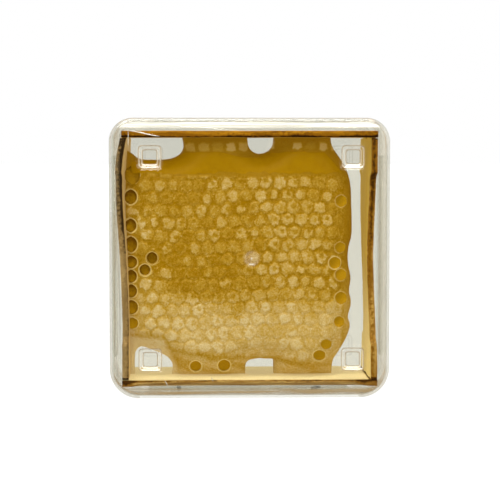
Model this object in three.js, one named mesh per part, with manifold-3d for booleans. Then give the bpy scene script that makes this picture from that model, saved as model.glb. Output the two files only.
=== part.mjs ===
// Comb honey in a wooden section frame, shut in a clear two-part box.
// Millimetres, +Z up, front toward -Y, standing on the bottom wall of the box.

import * as THREE from 'three';
import Module from 'manifold-3d';

const wasm = await Module();
wasm.setup();

// ---- clear box ----
const BOX = 118;             // outer width and height
const FRONT = -26.95;        // outer face of the lid
const BACK = 25.85;          // outer face of the base, behind it only the feet
const CORNER_TOP = 10;       // corner radius, seen from the front
const CORNER_BOTTOM = 12.4;
const CORNER_STEPS = 6;
const EDGE_ROUND = 2;        // rounding of the front and back edges
const EDGE_STEPS = 3;
const FILLET = 0.7;          // inside the lid, between its face and its skirt
const WALL = 1;              // side walls
const FACE = 1.5;            // front and back faces
const GAP = 0.3;             // clearance between any two pieces
const NECK = 1.1;            // wall of the neck that slides into the lid
const SEAM = 3;              // where the lid ends, a little behind mid depth
const NECK_REACH = 15;       // how far the neck goes into the lid
const NECK_HALF = 43;        // the neck stops short of the corners, clear of the section
const NECK_ROOT = 1.4;       // how far behind the seam the neck starts to widen into the wall
const STUD_AT = 42.6;        // pockets and feet sit this far from the centre lines
const STUD_SHIFT = 0.7;      // and all of them, with the gate mark, this far to the right
const STUD_ROUND = 1.3;      // their corner radius
const POCKET = { open: 4.7, floor: 3.05, depth: 1.3, skin: 1.1 };
const FOOT = { root: 4.2, tip: 3.2, height: 1.1, skin: 1.2 };
const GATE = { outer: 3.8, inner: 2.6, depth: 0.3, nub: 0.7 };
const RIB = { at: 30, wide: 1.6, front: -12, overlap: 2 };

// ---- wooden section ----
const SIDE = 108;            // outer width and height, the usual 4 1/4 inch
const DEPTH = 47.6;          // 1 7/8 inch
const WOOD = 2.8;            // thickness of the strips
const WOOD_AT = { x: 0.15, y: -0.15, z: 58.55 };
const FINGERS = 5;           // finger joint segments over the depth
const SCALLOP = { depth: 5.5, half: 36, ramp: 4, steps: 4 };
const BOW_LEFT = 3.1;        // the left strip bulges outward, most near its top
const SLACK = 0.85;          // share of that bulge that is gone at the back edge
// the right strip dents inward at its front edge, and its back edge is bent to an S
const BOW_RIGHT = { dent: 1.5, at: -1, spread: 24, twist: 0.75 };

// ---- comb ----
const PITCH = 5.65;          // between cells in a row
const ROW = 5.3;             // between rows
const THICK = 17.8;          // half thickness away from the borders
const THIN = 2.2;            // least half thickness
// half thickness at each border, and how far in from it the comb is at full thickness
const TAPER = {
  left: { edge: 5.5, reach: 11 },
  low: { edge: 3, reach: 15 },
  high: { edge: 10, reach: 9 },
  free: { edge: 5, reach: 12 },
};
const TOP_LEFT = { from: 20, to: 34, less: 4.5 };  // the left border thins between these heights
// how cells stray from straight rows: two slow sines, and a nudge of each cell
const WAVE = { x: 0.9, longX: 17, z: 0.9, longZ: 15, nudgeX: 0.7, nudgeZ: 0.6 };
const SHIFT = { front: 0.2, back: 0.25 };          // where each side's rows start, in pitches
const BOW_SHARE = { front: 0.5, back: 0.86 };      // how far back each side meets the left strip
const APART = 4.5;           // no capped cell starts nearer than this to an open one
const CAP = { rise: 0.75, top: 0.64 };
const OPEN = { crest: 0.84, floor: 0.68, lip: 0.3, deep: 7 };
const SMOOTH_TOP = 36.5;     // above this height run honey hides the cappings
const SMOOTH_LOW = -43.5;    // below this the wax runs out smooth to the wood
const SMOOTH_RISE = 0.12;    // how little the smooth wax stands up between borders
const CORNER = { top: -31, left: -36, lean: 0.4 }; // smooth wax round the lower left gap
const LEFT_LEAN = 0.4;       // the comb's left border moves off the wood by this over the depth
const FILM = {
  low: 35.8, high: 46.6, left: -49.6, right: 39.4, inset: 1.6,
  dip: { at: 5.5, wide: 9.5, deep: 5.2 },   // under the middle gap
  fall: { at: -26, soft: 1.5, deep: 6 },    // under the left gap
  side: { at: 43.4, most: 43, from: 28, bend: 0.085, power: 1.7 }, // along the right border
  wave: 0.5, edge: 0.3, thick: 1.1, clear: 1,
  columns: 27, rows: 4,
};

const INNER = SIDE / 2 - WOOD;
const REACH = INNER - GAP;

// repeatable noise in 0..1
let state = 20817;
const random = () => {
  state = (state * 1664525 + 1013904223) % 4294967296;
  return state / 4294967296;
};

// ---------------------------------------------------------------- helpers

class Surface {
  constructor() {
    this.keys = new Map();
    this.points = [];
    this.faces = [];
  }

  at(x, y, z) {
    const key = [x, y, z].map((v) => Math.round(v * 1000)).join(' ');
    if (!this.keys.has(key)) {
      this.keys.set(key, this.points.length / 3);
      this.points.push(x, y, z);
    }
    return this.keys.get(key);
  }

  tri(a, b, c) {
    if (a !== b && b !== c && c !== a) this.faces.push(a, b, c);
  }

  quad(a, b, c, d) {
    this.tri(a, b, c);
    this.tri(a, c, d);
  }

  fan(ring) {
    for (let i = 1; i + 1 < ring.length; i++) this.tri(ring[0], ring[i], ring[i + 1]);
  }

  volume() {
    const p = (i) => new THREE.Vector3().fromArray(this.points, i * 3);
    let sum = 0;
    for (let i = 0; i < this.faces.length; i += 3) {
      const [a, b, c] = [0, 1, 2].map((k) => p(this.faces[i + k]));
      sum += a.dot(b.cross(c)) / 6;
    }
    return sum;
  }

  solid() {
    if (this.volume() < 0) {
      for (let i = 0; i < this.faces.length; i += 3) {
        [this.faces[i], this.faces[i + 1]] = [this.faces[i + 1], this.faces[i]];
      }
    }
    return new wasm.Manifold(new wasm.Mesh({
      numProp: 3,
      vertProperties: new Float32Array(this.points),
      triVerts: new Uint32Array(this.faces),
    }));
  }
}

// any closed three.js geometry as a solid
function solidOf(geometry) {
  const flat = geometry.index ? geometry.toNonIndexed() : geometry;
  const position = flat.attributes.position;
  const surface = new Surface();
  const id = (i) => surface.at(position.getX(i), position.getY(i), position.getZ(i));
  for (let i = 0; i < position.count; i += 3) surface.tri(id(i), id(i + 1), id(i + 2));
  return surface.solid();
}

// a solid back as a flat-shaded geometry
function geometryOf(solid) {
  const mesh = solid.getMesh();
  const values = new Float32Array(mesh.triVerts.length * 3);
  mesh.triVerts.forEach((vertex, i) => {
    for (let k = 0; k < 3; k++) {
      values[i * 3 + k] = mesh.vertProperties[vertex * mesh.numProp + k];
    }
  });
  const geometry = new THREE.BufferGeometry();
  geometry.setAttribute('position', new THREE.BufferAttribute(values, 3));
  geometry.computeVertexNormals();
  return geometry;
}

// rounded square loop in the plane y, corners given as radii of the top and bottom pair
function loop(cx, cz, half, radii, y, steps) {
  const points = [];
  for (let corner = 0; corner < 4; corner++) {
    const sx = corner === 0 || corner === 3 ? 1 : -1;
    const sz = corner < 2 ? 1 : -1;
    const r = sz > 0 ? radii[0] : radii[1];
    for (let i = 0; i <= steps; i++) {
      const angle = ((corner + i / steps) * Math.PI) / 2;
      points.push([
        cx + sx * (half - r) + r * Math.cos(angle),
        y,
        cz + sz * (half - r) + r * Math.sin(angle),
      ]);
    }
  }
  return points;
}

// closed body through a run of loops with equal counts, flat at both ends
function sweep(loops) {
  const surface = new Surface();
  const rings = loops.map((points) => points.map((p) => surface.at(...p)));
  for (let i = 0; i + 1 < rings.length; i++) {
    const [one, two] = [rings[i], rings[i + 1]];
    for (let k = 0; k < one.length; k++) {
      const next = (k + 1) % one.length;
      surface.quad(one[k], one[next], two[next], two[k]);
    }
  }
  surface.fan([...rings[0]].reverse());
  surface.fan(rings[rings.length - 1]);
  return surface.solid();
}

function block(x0, x1, y0, y1, z0, z1) {
  const box = new THREE.BoxGeometry(x1 - x0, y1 - y0, z1 - z0);
  box.translate((x0 + x1) / 2, (y0 + y1) / 2, (z0 + z1) / 2);
  return solidOf(box);
}

const part = new THREE.Group();

function add(name, solid, color, opacity = 1) {
  const material = new THREE.MeshStandardMaterial({
    color,
    transparent: opacity < 1,
    opacity,
    roughness: 0.5,
  });
  const mesh = new THREE.Mesh(geometryOf(solid), material);
  mesh.name = name;
  part.add(mesh);
}

// ---------------------------------------------------------------- clear box

const MIDDLE = BOX / 2;

function wallLoop(inset, y) {
  const radii = [CORNER_TOP, CORNER_BOTTOM].map((r) => Math.max(r - inset, 1));
  return loop(0, MIDDLE, MIDDLE - inset, radii, y, CORNER_STEPS);
}

// quarter round from a face (at y, going toward +dir) out to the full wall
function roundedEdge(y, dir) {
  const loops = [];
  for (let i = 0; i <= EDGE_STEPS; i++) {
    const a = (i / EDGE_STEPS) * (Math.PI / 2);
    loops.push(wallLoop(EDGE_ROUND * (1 - Math.sin(a)), y + dir * EDGE_ROUND * (1 - Math.cos(a))));
  }
  return loops;
}

const corners = [[-1, 1], [1, 1], [-1, -1], [1, -1]].map(([sx, sz]) => (
  [sx * STUD_AT + STUD_SHIFT, MIDDLE + sz * STUD_AT]));

function stud([x, z], levels) {
  return sweep(levels.map(([half, y]) => {
    const r = Math.min(STUD_ROUND, half * 0.35);
    return loop(x, z, half, [r, r], y, 3);
  }));
}

function disc(radius, taper, y0, y1) {
  return sweep([
    loop(STUD_SHIFT, MIDDLE, radius, [radius, radius], y0, 4),
    loop(STUD_SHIFT, MIDDLE, taper, [taper, taper], y1, 4),
  ]);
}

// lid: the front face and the skirt around it
let lid = sweep([
  ...roundedEdge(FRONT, 1),
  wallLoop(0, SEAM - GAP),
  wallLoop(WALL, SEAM - GAP),
  wallLoop(WALL, FRONT + FACE + FILLET),
  wallLoop(WALL + FILLET, FRONT + FACE),
]);
for (const corner of corners) {
  const inner = FRONT + POCKET.depth;
  lid = lid.add(stud(corner, [
    [POCKET.open + POCKET.skin, FRONT + FACE / 2],
    [POCKET.open + POCKET.skin, FRONT + FACE],
    [POCKET.floor + POCKET.skin, inner + POCKET.skin],
  ]));
  const slope = (POCKET.open - POCKET.floor) / POCKET.depth;
  lid = lid.subtract(stud(corner, [
    [POCKET.open + slope, FRONT - 1],
    [POCKET.floor, inner],
  ]));
}
// the mark the moulding gate leaves: a shallow dish with a nub in its middle
lid = lid.subtract(disc(GATE.outer, GATE.inner, FRONT - GATE.depth, FRONT + GATE.depth));
lid = lid.add(disc(GATE.nub, GATE.nub + 0.2, FRONT + 0.1, FRONT + FACE / 2));

// base: the back face, its wall, and the neck that slides into the skirt
const neckOuter = WALL + GAP;
const neckInner = neckOuter + NECK;
let base = sweep([
  ...roundedEdge(BACK, -1),
  wallLoop(0, SEAM),
  wallLoop(neckOuter, SEAM),
  wallLoop(neckOuter, SEAM - NECK_REACH),
  wallLoop(neckInner, SEAM - NECK_REACH),
  wallLoop(neckInner, SEAM + NECK_ROOT),
  wallLoop(WALL, SEAM + NECK_ROOT + neckInner - WALL),
  wallLoop(WALL, BACK - FACE),
]);
for (const corner of corners) {
  const inner = BACK - FACE;
  base = base.add(stud(corner, [
    [FOOT.root, inner + FACE / 2],
    [FOOT.root, BACK],
    [FOOT.tip, BACK + FOOT.height],
  ]));
  base = base.subtract(stud(corner, [
    [FOOT.root - FOOT.skin, inner - 0.6],
    [FOOT.root - FOOT.skin, inner],
    [FOOT.tip - FOOT.skin, BACK + FOOT.height - FOOT.skin],
  ]));
}
const hollow = sweep([wallLoop(WALL, SEAM - NECK_REACH - 1), wallLoop(WALL, BACK - FACE - 1)]);
for (const sx of [-1, 1]) {
  for (const sz of [-1, 1]) {
    const [x0, x1] = [sx * NECK_HALF, sx * BOX].sort((a, b) => a - b);
    const [z0, z1] = [MIDDLE + sz * NECK_HALF, MIDDLE + sz * BOX].sort((a, b) => a - b);
    base = base.subtract(hollow.intersect(block(x0, x1, -DEPTH, DEPTH, z0, z1)));
  }
}
// ribs under and over the section keep it off the walls
const woodLow = WOOD_AT.z - SIDE / 2;
const woodHigh = WOOD_AT.z + SIDE / 2;
for (const side of [-1, 1]) {
  const [x0, x1] = [side * RIB.at - RIB.wide / 2, side * RIB.at + RIB.wide / 2];
  const onNeck = neckOuter + NECK / 2;
  const onBase = SEAM + NECK_ROOT / 2;
  base = base
    .add(block(x0, x1, RIB.front, SEAM + RIB.overlap, onNeck, woodLow - GAP))
    .add(block(x0, x1, onBase, BACK - FACE / 2, WALL / 2, woodLow - GAP))
    .add(block(x0, x1, RIB.front, SEAM + RIB.overlap, woodHigh + GAP, BOX - onNeck))
    .add(block(x0, x1, onBase, BACK - FACE / 2, woodHigh + GAP, BOX - WALL / 2));
}

add('base', base, '#dfe0d6', 0.35);
add('lid', lid, '#e6e7de', 0.35);

// ---------------------------------------------------------------- wooden section

// how far up a strip a height is, 0 to 1
const along = (z) => Math.min(Math.max((z + SIDE / 2) / SIDE, 0), 1);

// outward shift of the left strip; the power moves the top of the sine to its upper third
const bulge = (z) => Math.max(Math.sin(Math.PI * along(z) ** 2.8) - 0.05, 0);
const bowLeft = (z, share) => BOW_LEFT * bulge(z) * (1 - SLACK * share);

// inward shift of the right strip: a bell in front, turning into one wave of a sine behind
function bowRight(z, share) {
  const dent = BOW_RIGHT.dent * Math.exp(-(((z - BOW_RIGHT.at) / BOW_RIGHT.spread) ** 2));
  const twist = -BOW_RIGHT.twist * Math.sin(2 * Math.PI * along(z));
  return dent * (1 - share) + twist * share;
}

function setBack(z) {
  const over = (SCALLOP.half - Math.abs(z)) / SCALLOP.ramp;
  const t = Math.min(Math.max(over, 0), 1);
  return SCALLOP.depth * Math.sqrt(1 - (1 - t) ** 2);
}

const fingerWidth = DEPTH / FINGERS;
const fingers = Array.from({ length: FINGERS }, (_, i) => ({
  front: -DEPTH / 2 + i * fingerWidth,
  back: -DEPTH / 2 + (i + 1) * fingerWidth,
  across: i % 2 === 0,
}));

function acrossStrip(sign) {
  const [z0, z1] = [INNER, SIDE / 2].map((v) => v * sign).sort((a, b) => a - b);
  let strip = block(-SIDE / 2, SIDE / 2, -DEPTH / 2, DEPTH / 2, z0, z1);
  for (const finger of fingers.filter((f) => !f.across)) {
    for (const end of [-1, 1]) {
      const [x0, x1] = [end * REACH, end * (SIDE / 2 + 1)].sort((a, b) => a - b);
      strip = strip.subtract(
        block(x0, x1, finger.front - GAP / 2, finger.back + GAP / 2, z0 - 1, z1 + 1));
    }
  }
  return strip;
}

function uprightStrip(sign, bow) {
  const heights = [-REACH, -46, -40, REACH, 46, 40];
  for (let z = -30; z <= 30; z += 6) heights.push(z);
  for (let i = 0; i <= SCALLOP.steps; i++) {
    const z = SCALLOP.half - SCALLOP.ramp * (i / SCALLOP.steps) ** 2;
    heights.push(z, -z);
  }
  heights.sort((a, b) => a - b);
  const loops = heights.map((z) => {
    const [front, back] = [-DEPTH / 2 + setBack(z), DEPTH / 2 - setBack(z)];
    const at = (x, y) => [sign * (x + bow(z, (y + DEPTH / 2) / DEPTH)), y, z];
    return [at(INNER, front), at(SIDE / 2, front), at(SIDE / 2, back), at(INNER, back)];
  });
  let strip = sweep(loops);
  for (const finger of fingers.filter((f) => !f.across)) {
    for (const end of [-1, 1]) {
      const [x0, x1] = [sign * INNER, sign * SIDE / 2].sort((a, b) => a - b);
      const [z0, z1] = [end * (REACH - 3), end * SIDE / 2].sort((a, b) => a - b);
      strip = strip.add(block(x0, x1, finger.front + GAP / 2, finger.back - GAP / 2, z0, z1));
    }
  }
  return strip;
}

const placed = (solid) => solid.translate([WOOD_AT.x, WOOD_AT.y, WOOD_AT.z]);
add('section_top', placed(acrossStrip(1)), '#86581a');
add('section_bottom', placed(acrossStrip(-1)), '#a88754');
add('section_left', placed(uprightStrip(-1, bowLeft)), '#7d6238');
add('section_right', placed(uprightStrip(1, (z, share) => -bowRight(z, share))), '#a1782f');

// ---------------------------------------------------------------- comb

// free borders of the comb, where daylight shows between wax and wood
const gapLowLeft = [
  [-49.4, -REACH], [-49.5, -45.3], [-49.2, -41.6], [-47.6, -39.2], [-45.8, -38.7], [-43.8, -39.4],
  [-38.4, -41.4], [-35.2, -43.2], [-33.2, -45.4], [-32.7, -48], [-33.2, -REACH],
];
const gapLowMiddle = [
  [-1.4, -REACH], [-1.4, -46.8], [-0.4, -45.1], [1.6, -44.6], [4.8, -44], [7, -44.4],
  [10.4, -44.4], [11, -44.9], [11, -REACH],
];
const rightEdge = [
  [36.1, -REACH], [36.3, -45], [38.8, -41.3], [41.4, -36.9], [43.2, -33], [44.1, -29.4],
  [42.7, -26], [44.1, -22], [44.4, -18.6], [43.2, -15.2], [44.4, -9.2], [42.8, -3], [43, 4.4],
  [44.7, 9], [44.4, 20], [44.2, 28.5], [43.6, 33.4], [41.6, 39], [39, 43], [36.8, 46],
  [35.6, 48.6], [35.4, REACH],
];
const gapHighMiddle = [
  [11, REACH], [10.8, 47.6], [8.6, 45.1], [5.2, 44], [2, 44.8], [-0.2, 47.2], [-0.5, REACH],
];
const gapHighLeft = [
  [-28.6, REACH], [-28, 48.4], [-28.1, 46.4], [-29.2, 44.4], [-31.4, 42.8], [-34.6, 41.9],
  [-39, 41.6], [-44.4, 41.6], [-47.8, 42.2], [-49.6, 43.8],
];

// left border, following the bulge of the strip by the share reached at that depth
const leftAt = (z, share) => -REACH + LEFT_LEAN * (share - 0.2) - bowLeft(z, share);
function leftBorder(share) {
  const points = [];
  for (let z = 45.6; z > -REACH; z -= 4) points.push([leftAt(z, share), z]);
  points.push([leftAt(-REACH, share), -REACH]);
  return points;
}

const outlineFor = (share) => [
  ...gapLowLeft, ...gapLowMiddle, ...rightEdge, ...gapHighMiddle, ...gapHighLeft,
  ...leftBorder(share),
];
const freeBorders = [gapLowLeft, gapLowMiddle, rightEdge, gapHighMiddle, gapHighLeft];
const silhouette = outlineFor(BOW_SHARE.front);

function inside(x, z, outline) {
  let odd = false;
  outline.forEach(([x1, z1], i) => {
    const [x2, z2] = outline[(i + 1) % outline.length];
    if (z1 > z !== z2 > z && x < x1 + ((x2 - x1) * (z - z1)) / (z2 - z1)) odd = !odd;
  });
  return odd;
}

function distanceTo(line, x, z) {
  let best = Infinity;
  for (let i = 0; i + 1 < line.length; i++) {
    const [[x1, z1], [x2, z2]] = [line[i], line[i + 1]];
    const [dx, dz] = [x2 - x1, z2 - z1];
    const t = Math.min(Math.max(((x - x1) * dx + (z - z1) * dz) / (dx * dx + dz * dz), 0), 1);
    best = Math.min(best, Math.hypot(x - x1 - t * dx, z - z1 - t * dz));
  }
  return best;
}

// half thickness of the comb: full in the middle, rounding off toward its borders
function halfThick(x, z) {
  const within = inside(x, z, silhouette);
  const free = within ? Math.min(...freeBorders.map((line) => distanceTo(line, x, z))) : 0;
  const up = THREE.MathUtils.smoothstep(z, TOP_LEFT.from, TOP_LEFT.to);
  const left = { edge: TAPER.left.edge - TOP_LEFT.less * up, reach: TAPER.left.reach };
  const borders = [
    [x - leftAt(z, BOW_SHARE.front), left],
    [z + REACH, TAPER.low],
    [REACH - z, TAPER.high],
    [free, TAPER.free],
  ];
  let thick = THICK;
  for (const [distance, { edge, reach }] of borders) {
    const t = Math.min(Math.max(distance / reach, 0), 1);
    thick *= 1 - (1 - edge / THICK) * (1 - Math.sqrt(1 - (1 - t) ** 2));
  }
  return Math.max(thick, THIN);
}

// cells left open by the bees, at [x, z]
const openLeft = [25.95, 13.8, 5.7, -1.85, -7.9, -14.2, -21.1, -27.9].map((z) => [-50.3, z]);
const openFront = [
  [-49.6, 35.3], ...openLeft, [-41.4, 0.1], [-44.4, -5], [39, 24.2], [38.6, 4.4], [36.3, -2.1], [38.95, -7.3],
  [39, -17.3], [38.15, -27.4], [32.6, -36.9], [29.8, -41.8], [-22.9, -46.6], [-10.8, -46.3],
];
const openBack = [
  ...[18, 6, -9].map((z) => [-50.3, z]), [39.6, 12], [39, -12.4], [37.4, -26], [-16, -46.6],
  [20.5, -46.4],
];

function seeds(open, shift) {
  const list = open.map(([x, z]) => ({ x, z, kind: 'open' }));
  const far = (x, z) => open.every(([ox, oz]) => Math.hypot(x - ox, z - oz) > APART);
  let row = 0;
  for (let z = -REACH - 2.4; z < REACH + 4; z += ROW) {
    const offset = (row % 2) * 0.5 + shift;
    for (let i = -11; i < 11; i++) {
      const x0 = (i + offset) * PITCH;
      const x = x0 + WAVE.x * Math.sin(z / WAVE.longX + 1) + (random() - 0.5) * WAVE.nudgeX;
      const dz = WAVE.z * Math.sin(x0 / WAVE.longZ + 0.6) + (random() - 0.5) * WAVE.nudgeZ;
      const leftmost = x < -REACH + PITCH / 2;
      const beyond = x < -REACH - PITCH / 2 || x > INNER;
      if (!beyond && !leftmost && far(x, z + dz)) list.push({ x, z: z + dz, kind: 'capped' });
      if (!beyond && leftmost && far(-REACH, z)) list.push({ x: -REACH, z, kind: 'capped' });
    }
    row += 1;
  }
  for (const seed of list) {
    // the wax also runs out smooth round the gap in the lower left corner
    const below = CORNER.top - seed.z;
    const beside = below > 0 && seed.x < CORNER.left + CORNER.lean * below;
    const low = seed.z < SMOOTH_LOW || beside;
    if (seed.kind === 'capped' && (low || seed.z > SMOOTH_TOP)) seed.kind = 'smooth';
  }
  return list;
}

// the region nearer to one seed than to any other, as a polygon
const FIELD = 57;            // half size of the square that all cells fill
const NEIGHBOURS = 22;       // seeds further off than this never share a side
const PER_MM = 25;           // corners are snapped to a grid this fine, so that neighbours agree
const TIE = 1e-4;            // and a corner exactly between two grid points goes one way in both
function cellOf(seed, all) {
  let polygon = [[-FIELD, -FIELD], [FIELD, -FIELD], [FIELD, FIELD], [-FIELD, FIELD]];
  for (const other of all) {
    const [nx, nz] = [other.x - seed.x, other.z - seed.z];
    if (other === seed || Math.hypot(nx, nz) > NEIGHBOURS) continue;
    const half = (other.x ** 2 + other.z ** 2 - seed.x ** 2 - seed.z ** 2) / 2;
    const side = ([x, z]) => x * nx + z * nz - half;
    const kept = [];
    polygon.forEach((p, i) => {
      const q = polygon[(i + 1) % polygon.length];
      const [a, b] = [side(p), side(q)];
      if (a <= 0) kept.push(p);
      if (a < 0 !== b < 0 && a !== b) {
        const t = a / (a - b);
        kept.push([p[0] + (q[0] - p[0]) * t, p[1] + (q[1] - p[1]) * t]);
      }
    });
    polygon = kept;
  }
  const snapped = polygon.map((point) => (
    point.map((v) => Math.round(v * PER_MM + TIE) / PER_MM)));
  return snapped.filter((p, i) => {
    const q = snapped[(i + 1) % snapped.length];
    return p[0] !== q[0] || p[1] !== q[1];
  });
}

// one side of the comb, from the midrib at y = 0 out to the cappings
function halfComb(dir, open, shift, share) {
  const all = seeds(open, shift);
  const surface = new Surface();
  for (const seed of all) {
    const polygon = cellOf(seed, all);
    const n = polygon.length;
    const cx = polygon.reduce((sum, p) => sum + p[0], 0) / n;
    const cz = polygon.reduce((sum, p) => sum + p[1], 0) / n;
    const ring = (scale, level) => polygon.map(([x, z]) => {
      const [qx, qz] = [cx + (x - cx) * scale, cz + (z - cz) * scale];
      return surface.at(qx, dir * level(qx, qz), qz);
    });
    const band = (outer, inner) => outer.forEach((a, i) => {
      const j = (i + 1) % n;
      surface.quad(a, outer[j], inner[j], inner[i]);
    });
    const rim = ring(1, halfThick);
    if (seed.kind === 'open') {
      const crest = ring(OPEN.crest, (x, z) => halfThick(x, z) + OPEN.lip);
      const depth = Math.max(halfThick(cx, cz) - OPEN.deep, THIN - 0.4);
      const floor = ring(OPEN.floor, () => depth);
      band(rim, crest);
      band(crest, floor);
      surface.fan(floor);
    } else if (seed.kind === 'capped' && dir < 0) {
      const rise = CAP.rise * (0.75 + 0.5 * random());
      const top = ring(CAP.top, (x, z) => halfThick(x, z) + rise);
      band(rim, top);
      surface.fan(top);
    } else {
      const rise = seed.kind === 'smooth' ? SMOOTH_RISE : CAP.rise;
      const tip = surface.at(cx, dir * (halfThick(cx, cz) + rise), cz);
      rim.forEach((a, i) => surface.tri(a, rim[(i + 1) % n], tip));
    }
    const foot = ring(1, () => 0);
    surface.fan([...foot].reverse());
    polygon.forEach(([x, z], i) => {
      const j = (i + 1) % n;
      const [x2, z2] = polygon[j];
      const onField = (x === x2 && Math.abs(x) === FIELD) || (z === z2 && Math.abs(z) === FIELD);
      if (onField) surface.quad(rim[i], foot[i], foot[j], rim[j]);
    });
  }
  const shape = new THREE.Shape(outlineFor(share).map(([x, z]) => new THREE.Vector2(x, z)));
  const prism = new THREE.ExtrudeGeometry(shape, { depth: 2 * DEPTH, bevelEnabled: false, steps: 1 });
  prism.rotateX(Math.PI / 2).translate(0, DEPTH, 0);
  return surface.solid().intersect(solidOf(prism));
}

const comb = halfComb(-1, openFront, SHIFT.front, BOW_SHARE.front)
  .add(halfComb(1, openBack, SHIFT.back, BOW_SHARE.back))
  .simplify(0.01);
add('comb', placed(comb), '#c09138');

// ---------------------------------------------------------------- run honey

// a thin sheet of honey lying over the cappings of the upper band
function honeyFilm() {
  const surface = new Surface();
  const { columns, rows, dip, fall, side } = FILM;
  const rightOf = (z) => side.at - side.bend * (z - side.from) ** side.power;
  const freeRight = (z) => Math.min(rightOf(z), side.most) - FILM.inset;
  const grid = [0, 1].map((front) => Array.from({ length: columns + 1 }, (_, i) => (
    Array.from({ length: rows + 1 }, (__, j) => {
      const [u, v] = [i / columns, j / rows];
      const across = FILM.left + (FILM.right - FILM.left) * u;
      const low = FILM.low + FILM.wave * (Math.sin(across / 5) + 0.6 * Math.sin(across / 2.1 + 1));
      const underGap = dip.deep * Math.exp(-(((across - dip.at) / dip.wide) ** 4));
      const underLeft = fall.deep / (1 + Math.exp((across - fall.at) / fall.soft));
      const z = low + (FILM.high - underGap - underLeft - low) * v;
      const left = leftAt(z, BOW_SHARE.front) + 1;
      const x = left + (freeRight(z) - left) * u;
      const rim = Math.min(1, 6 * u, 6 * (1 - u), 3 * v, 3 * (1 - v));
      const thick = FILM.edge + (FILM.thick - FILM.edge) * rim;
      const over = z < SMOOTH_TOP + 2.1 ? CAP.rise * 1.25 : SMOOTH_RISE;
      return surface.at(x, -(halfThick(x, z) + FILM.clear + over + front * thick), z);
    })
  )));
  const [back, front] = grid;
  for (let i = 0; i < columns; i++) {
    for (let j = 0; j < rows; j++) {
      surface.quad(front[i][j], front[i + 1][j], front[i + 1][j + 1], front[i][j + 1]);
      surface.quad(back[i][j], back[i][j + 1], back[i + 1][j + 1], back[i + 1][j]);
    }
    surface.quad(front[i][0], back[i][0], back[i + 1][0], front[i + 1][0]);
    surface.quad(front[i][rows], front[i + 1][rows], back[i + 1][rows], back[i][rows]);
  }
  for (let j = 0; j < rows; j++) {
    surface.quad(front[0][j], front[0][j + 1], back[0][j + 1], back[0][j]);
    surface.quad(front[columns][j], back[columns][j], back[columns][j + 1], front[columns][j + 1]);
  }
  return surface.solid();
}

add('honey_film', placed(honeyFilm()), '#a07806');

export default part;
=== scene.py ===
# %% [markdown]
# # A section of comb honey in its clear box
#
# Bees built this comb inside a thin square frame of basswood, which beekeepers call a
# section. It is sold as it left the hive, shut in a clear plastic box of two parts. The
# lesson works from the tools inward: meshes from arrays, shader sums, then the box, the
# wood, the comb, its open cells, the run honey, and last the light. Lengths are in
# millimetres until a mesh is made, because that is how the thing is measured. The outer
# sizes of the box and of the wood are read from the solids.

# %% The frame that everything is fitted to
import math

import bmesh
import bpy
import numpy as np
from mathutils import Matrix, Vector


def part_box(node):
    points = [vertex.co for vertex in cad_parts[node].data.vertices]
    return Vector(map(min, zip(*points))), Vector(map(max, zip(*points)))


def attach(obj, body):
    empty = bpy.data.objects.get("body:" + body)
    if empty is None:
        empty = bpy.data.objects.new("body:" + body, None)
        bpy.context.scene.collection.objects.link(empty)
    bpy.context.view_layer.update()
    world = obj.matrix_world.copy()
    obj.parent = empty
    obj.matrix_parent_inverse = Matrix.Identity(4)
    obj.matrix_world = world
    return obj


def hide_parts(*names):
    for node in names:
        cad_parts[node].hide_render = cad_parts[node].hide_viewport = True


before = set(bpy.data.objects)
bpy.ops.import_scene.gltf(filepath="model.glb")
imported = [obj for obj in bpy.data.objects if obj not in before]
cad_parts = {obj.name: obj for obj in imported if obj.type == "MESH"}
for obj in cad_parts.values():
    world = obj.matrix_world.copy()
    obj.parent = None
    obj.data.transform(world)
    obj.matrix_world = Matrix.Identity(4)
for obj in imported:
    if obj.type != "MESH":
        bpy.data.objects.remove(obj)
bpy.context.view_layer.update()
MM = 0.001


def middle_and_half(*nodes):
    """Middle and half size of the box round some solids, in millimetres to the hundredth."""
    corners = np.array([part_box(node) for node in nodes]) / MM
    low, high = corners[:, 0].min(0), corners[:, 1].max(0)
    return np.round((low + high) / 2, 2), np.round((high - low) / 2, 2)


print("solids to dress:", sorted(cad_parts))

# %% [markdown]
# ## Camera
#
# A long lens from three quarters of a metre keeps the square box almost square and still
# shows a little of its side walls all round. The camera looks from slightly left of the
# middle and slightly above, so the right and the bottom strip show their inner faces.

# %% Camera
AIM = Vector((0.12, -23.95, 62.455)) * MM
TURN, RAISE, AWAY = math.radians(-1.944), math.radians(3.373), 0.751
HALF_WIDTH, LENS = 250, 1783.9   # half the width of what it sees, at a lens length of so much


def looking(place, back):
    """A pose at place that looks away from back: its own Z runs along back."""
    return Matrix.Translation(place) @ back.to_track_quat("Z", "Y").to_matrix().to_4x4()


toward = Vector((math.sin(TURN) * math.cos(RAISE), -math.cos(TURN) * math.cos(RAISE),
                 math.sin(RAISE)))
camera = bpy.data.objects.new("camera", bpy.data.cameras.new("camera"))
bpy.context.scene.collection.objects.link(camera)
camera.data.angle = 2 * math.atan(HALF_WIDTH / LENS)
camera.data.clip_start, camera.data.clip_end = 0.05, 60
camera.matrix_world = looking(AIM + toward * AWAY, toward)
bpy.context.scene.camera = camera
print("field of view", round(math.degrees(camera.data.angle), 2), "degrees")

# %% [markdown]
# ## Meshes from whole arrays
#
# Every piece here is worked out as arrays of points, never point by point. A patch is a
# grid of points with its faces and, if the finish needs them, one number per point for
# each named attribute. Patches that share an edge are welded into one closed mesh. Done
# this way a shape stays a formula, so a size can be changed in one place.

# %% Grids and welding
TOLD_APART = 1000   # places along a millimetre that the weld tells apart


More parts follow.
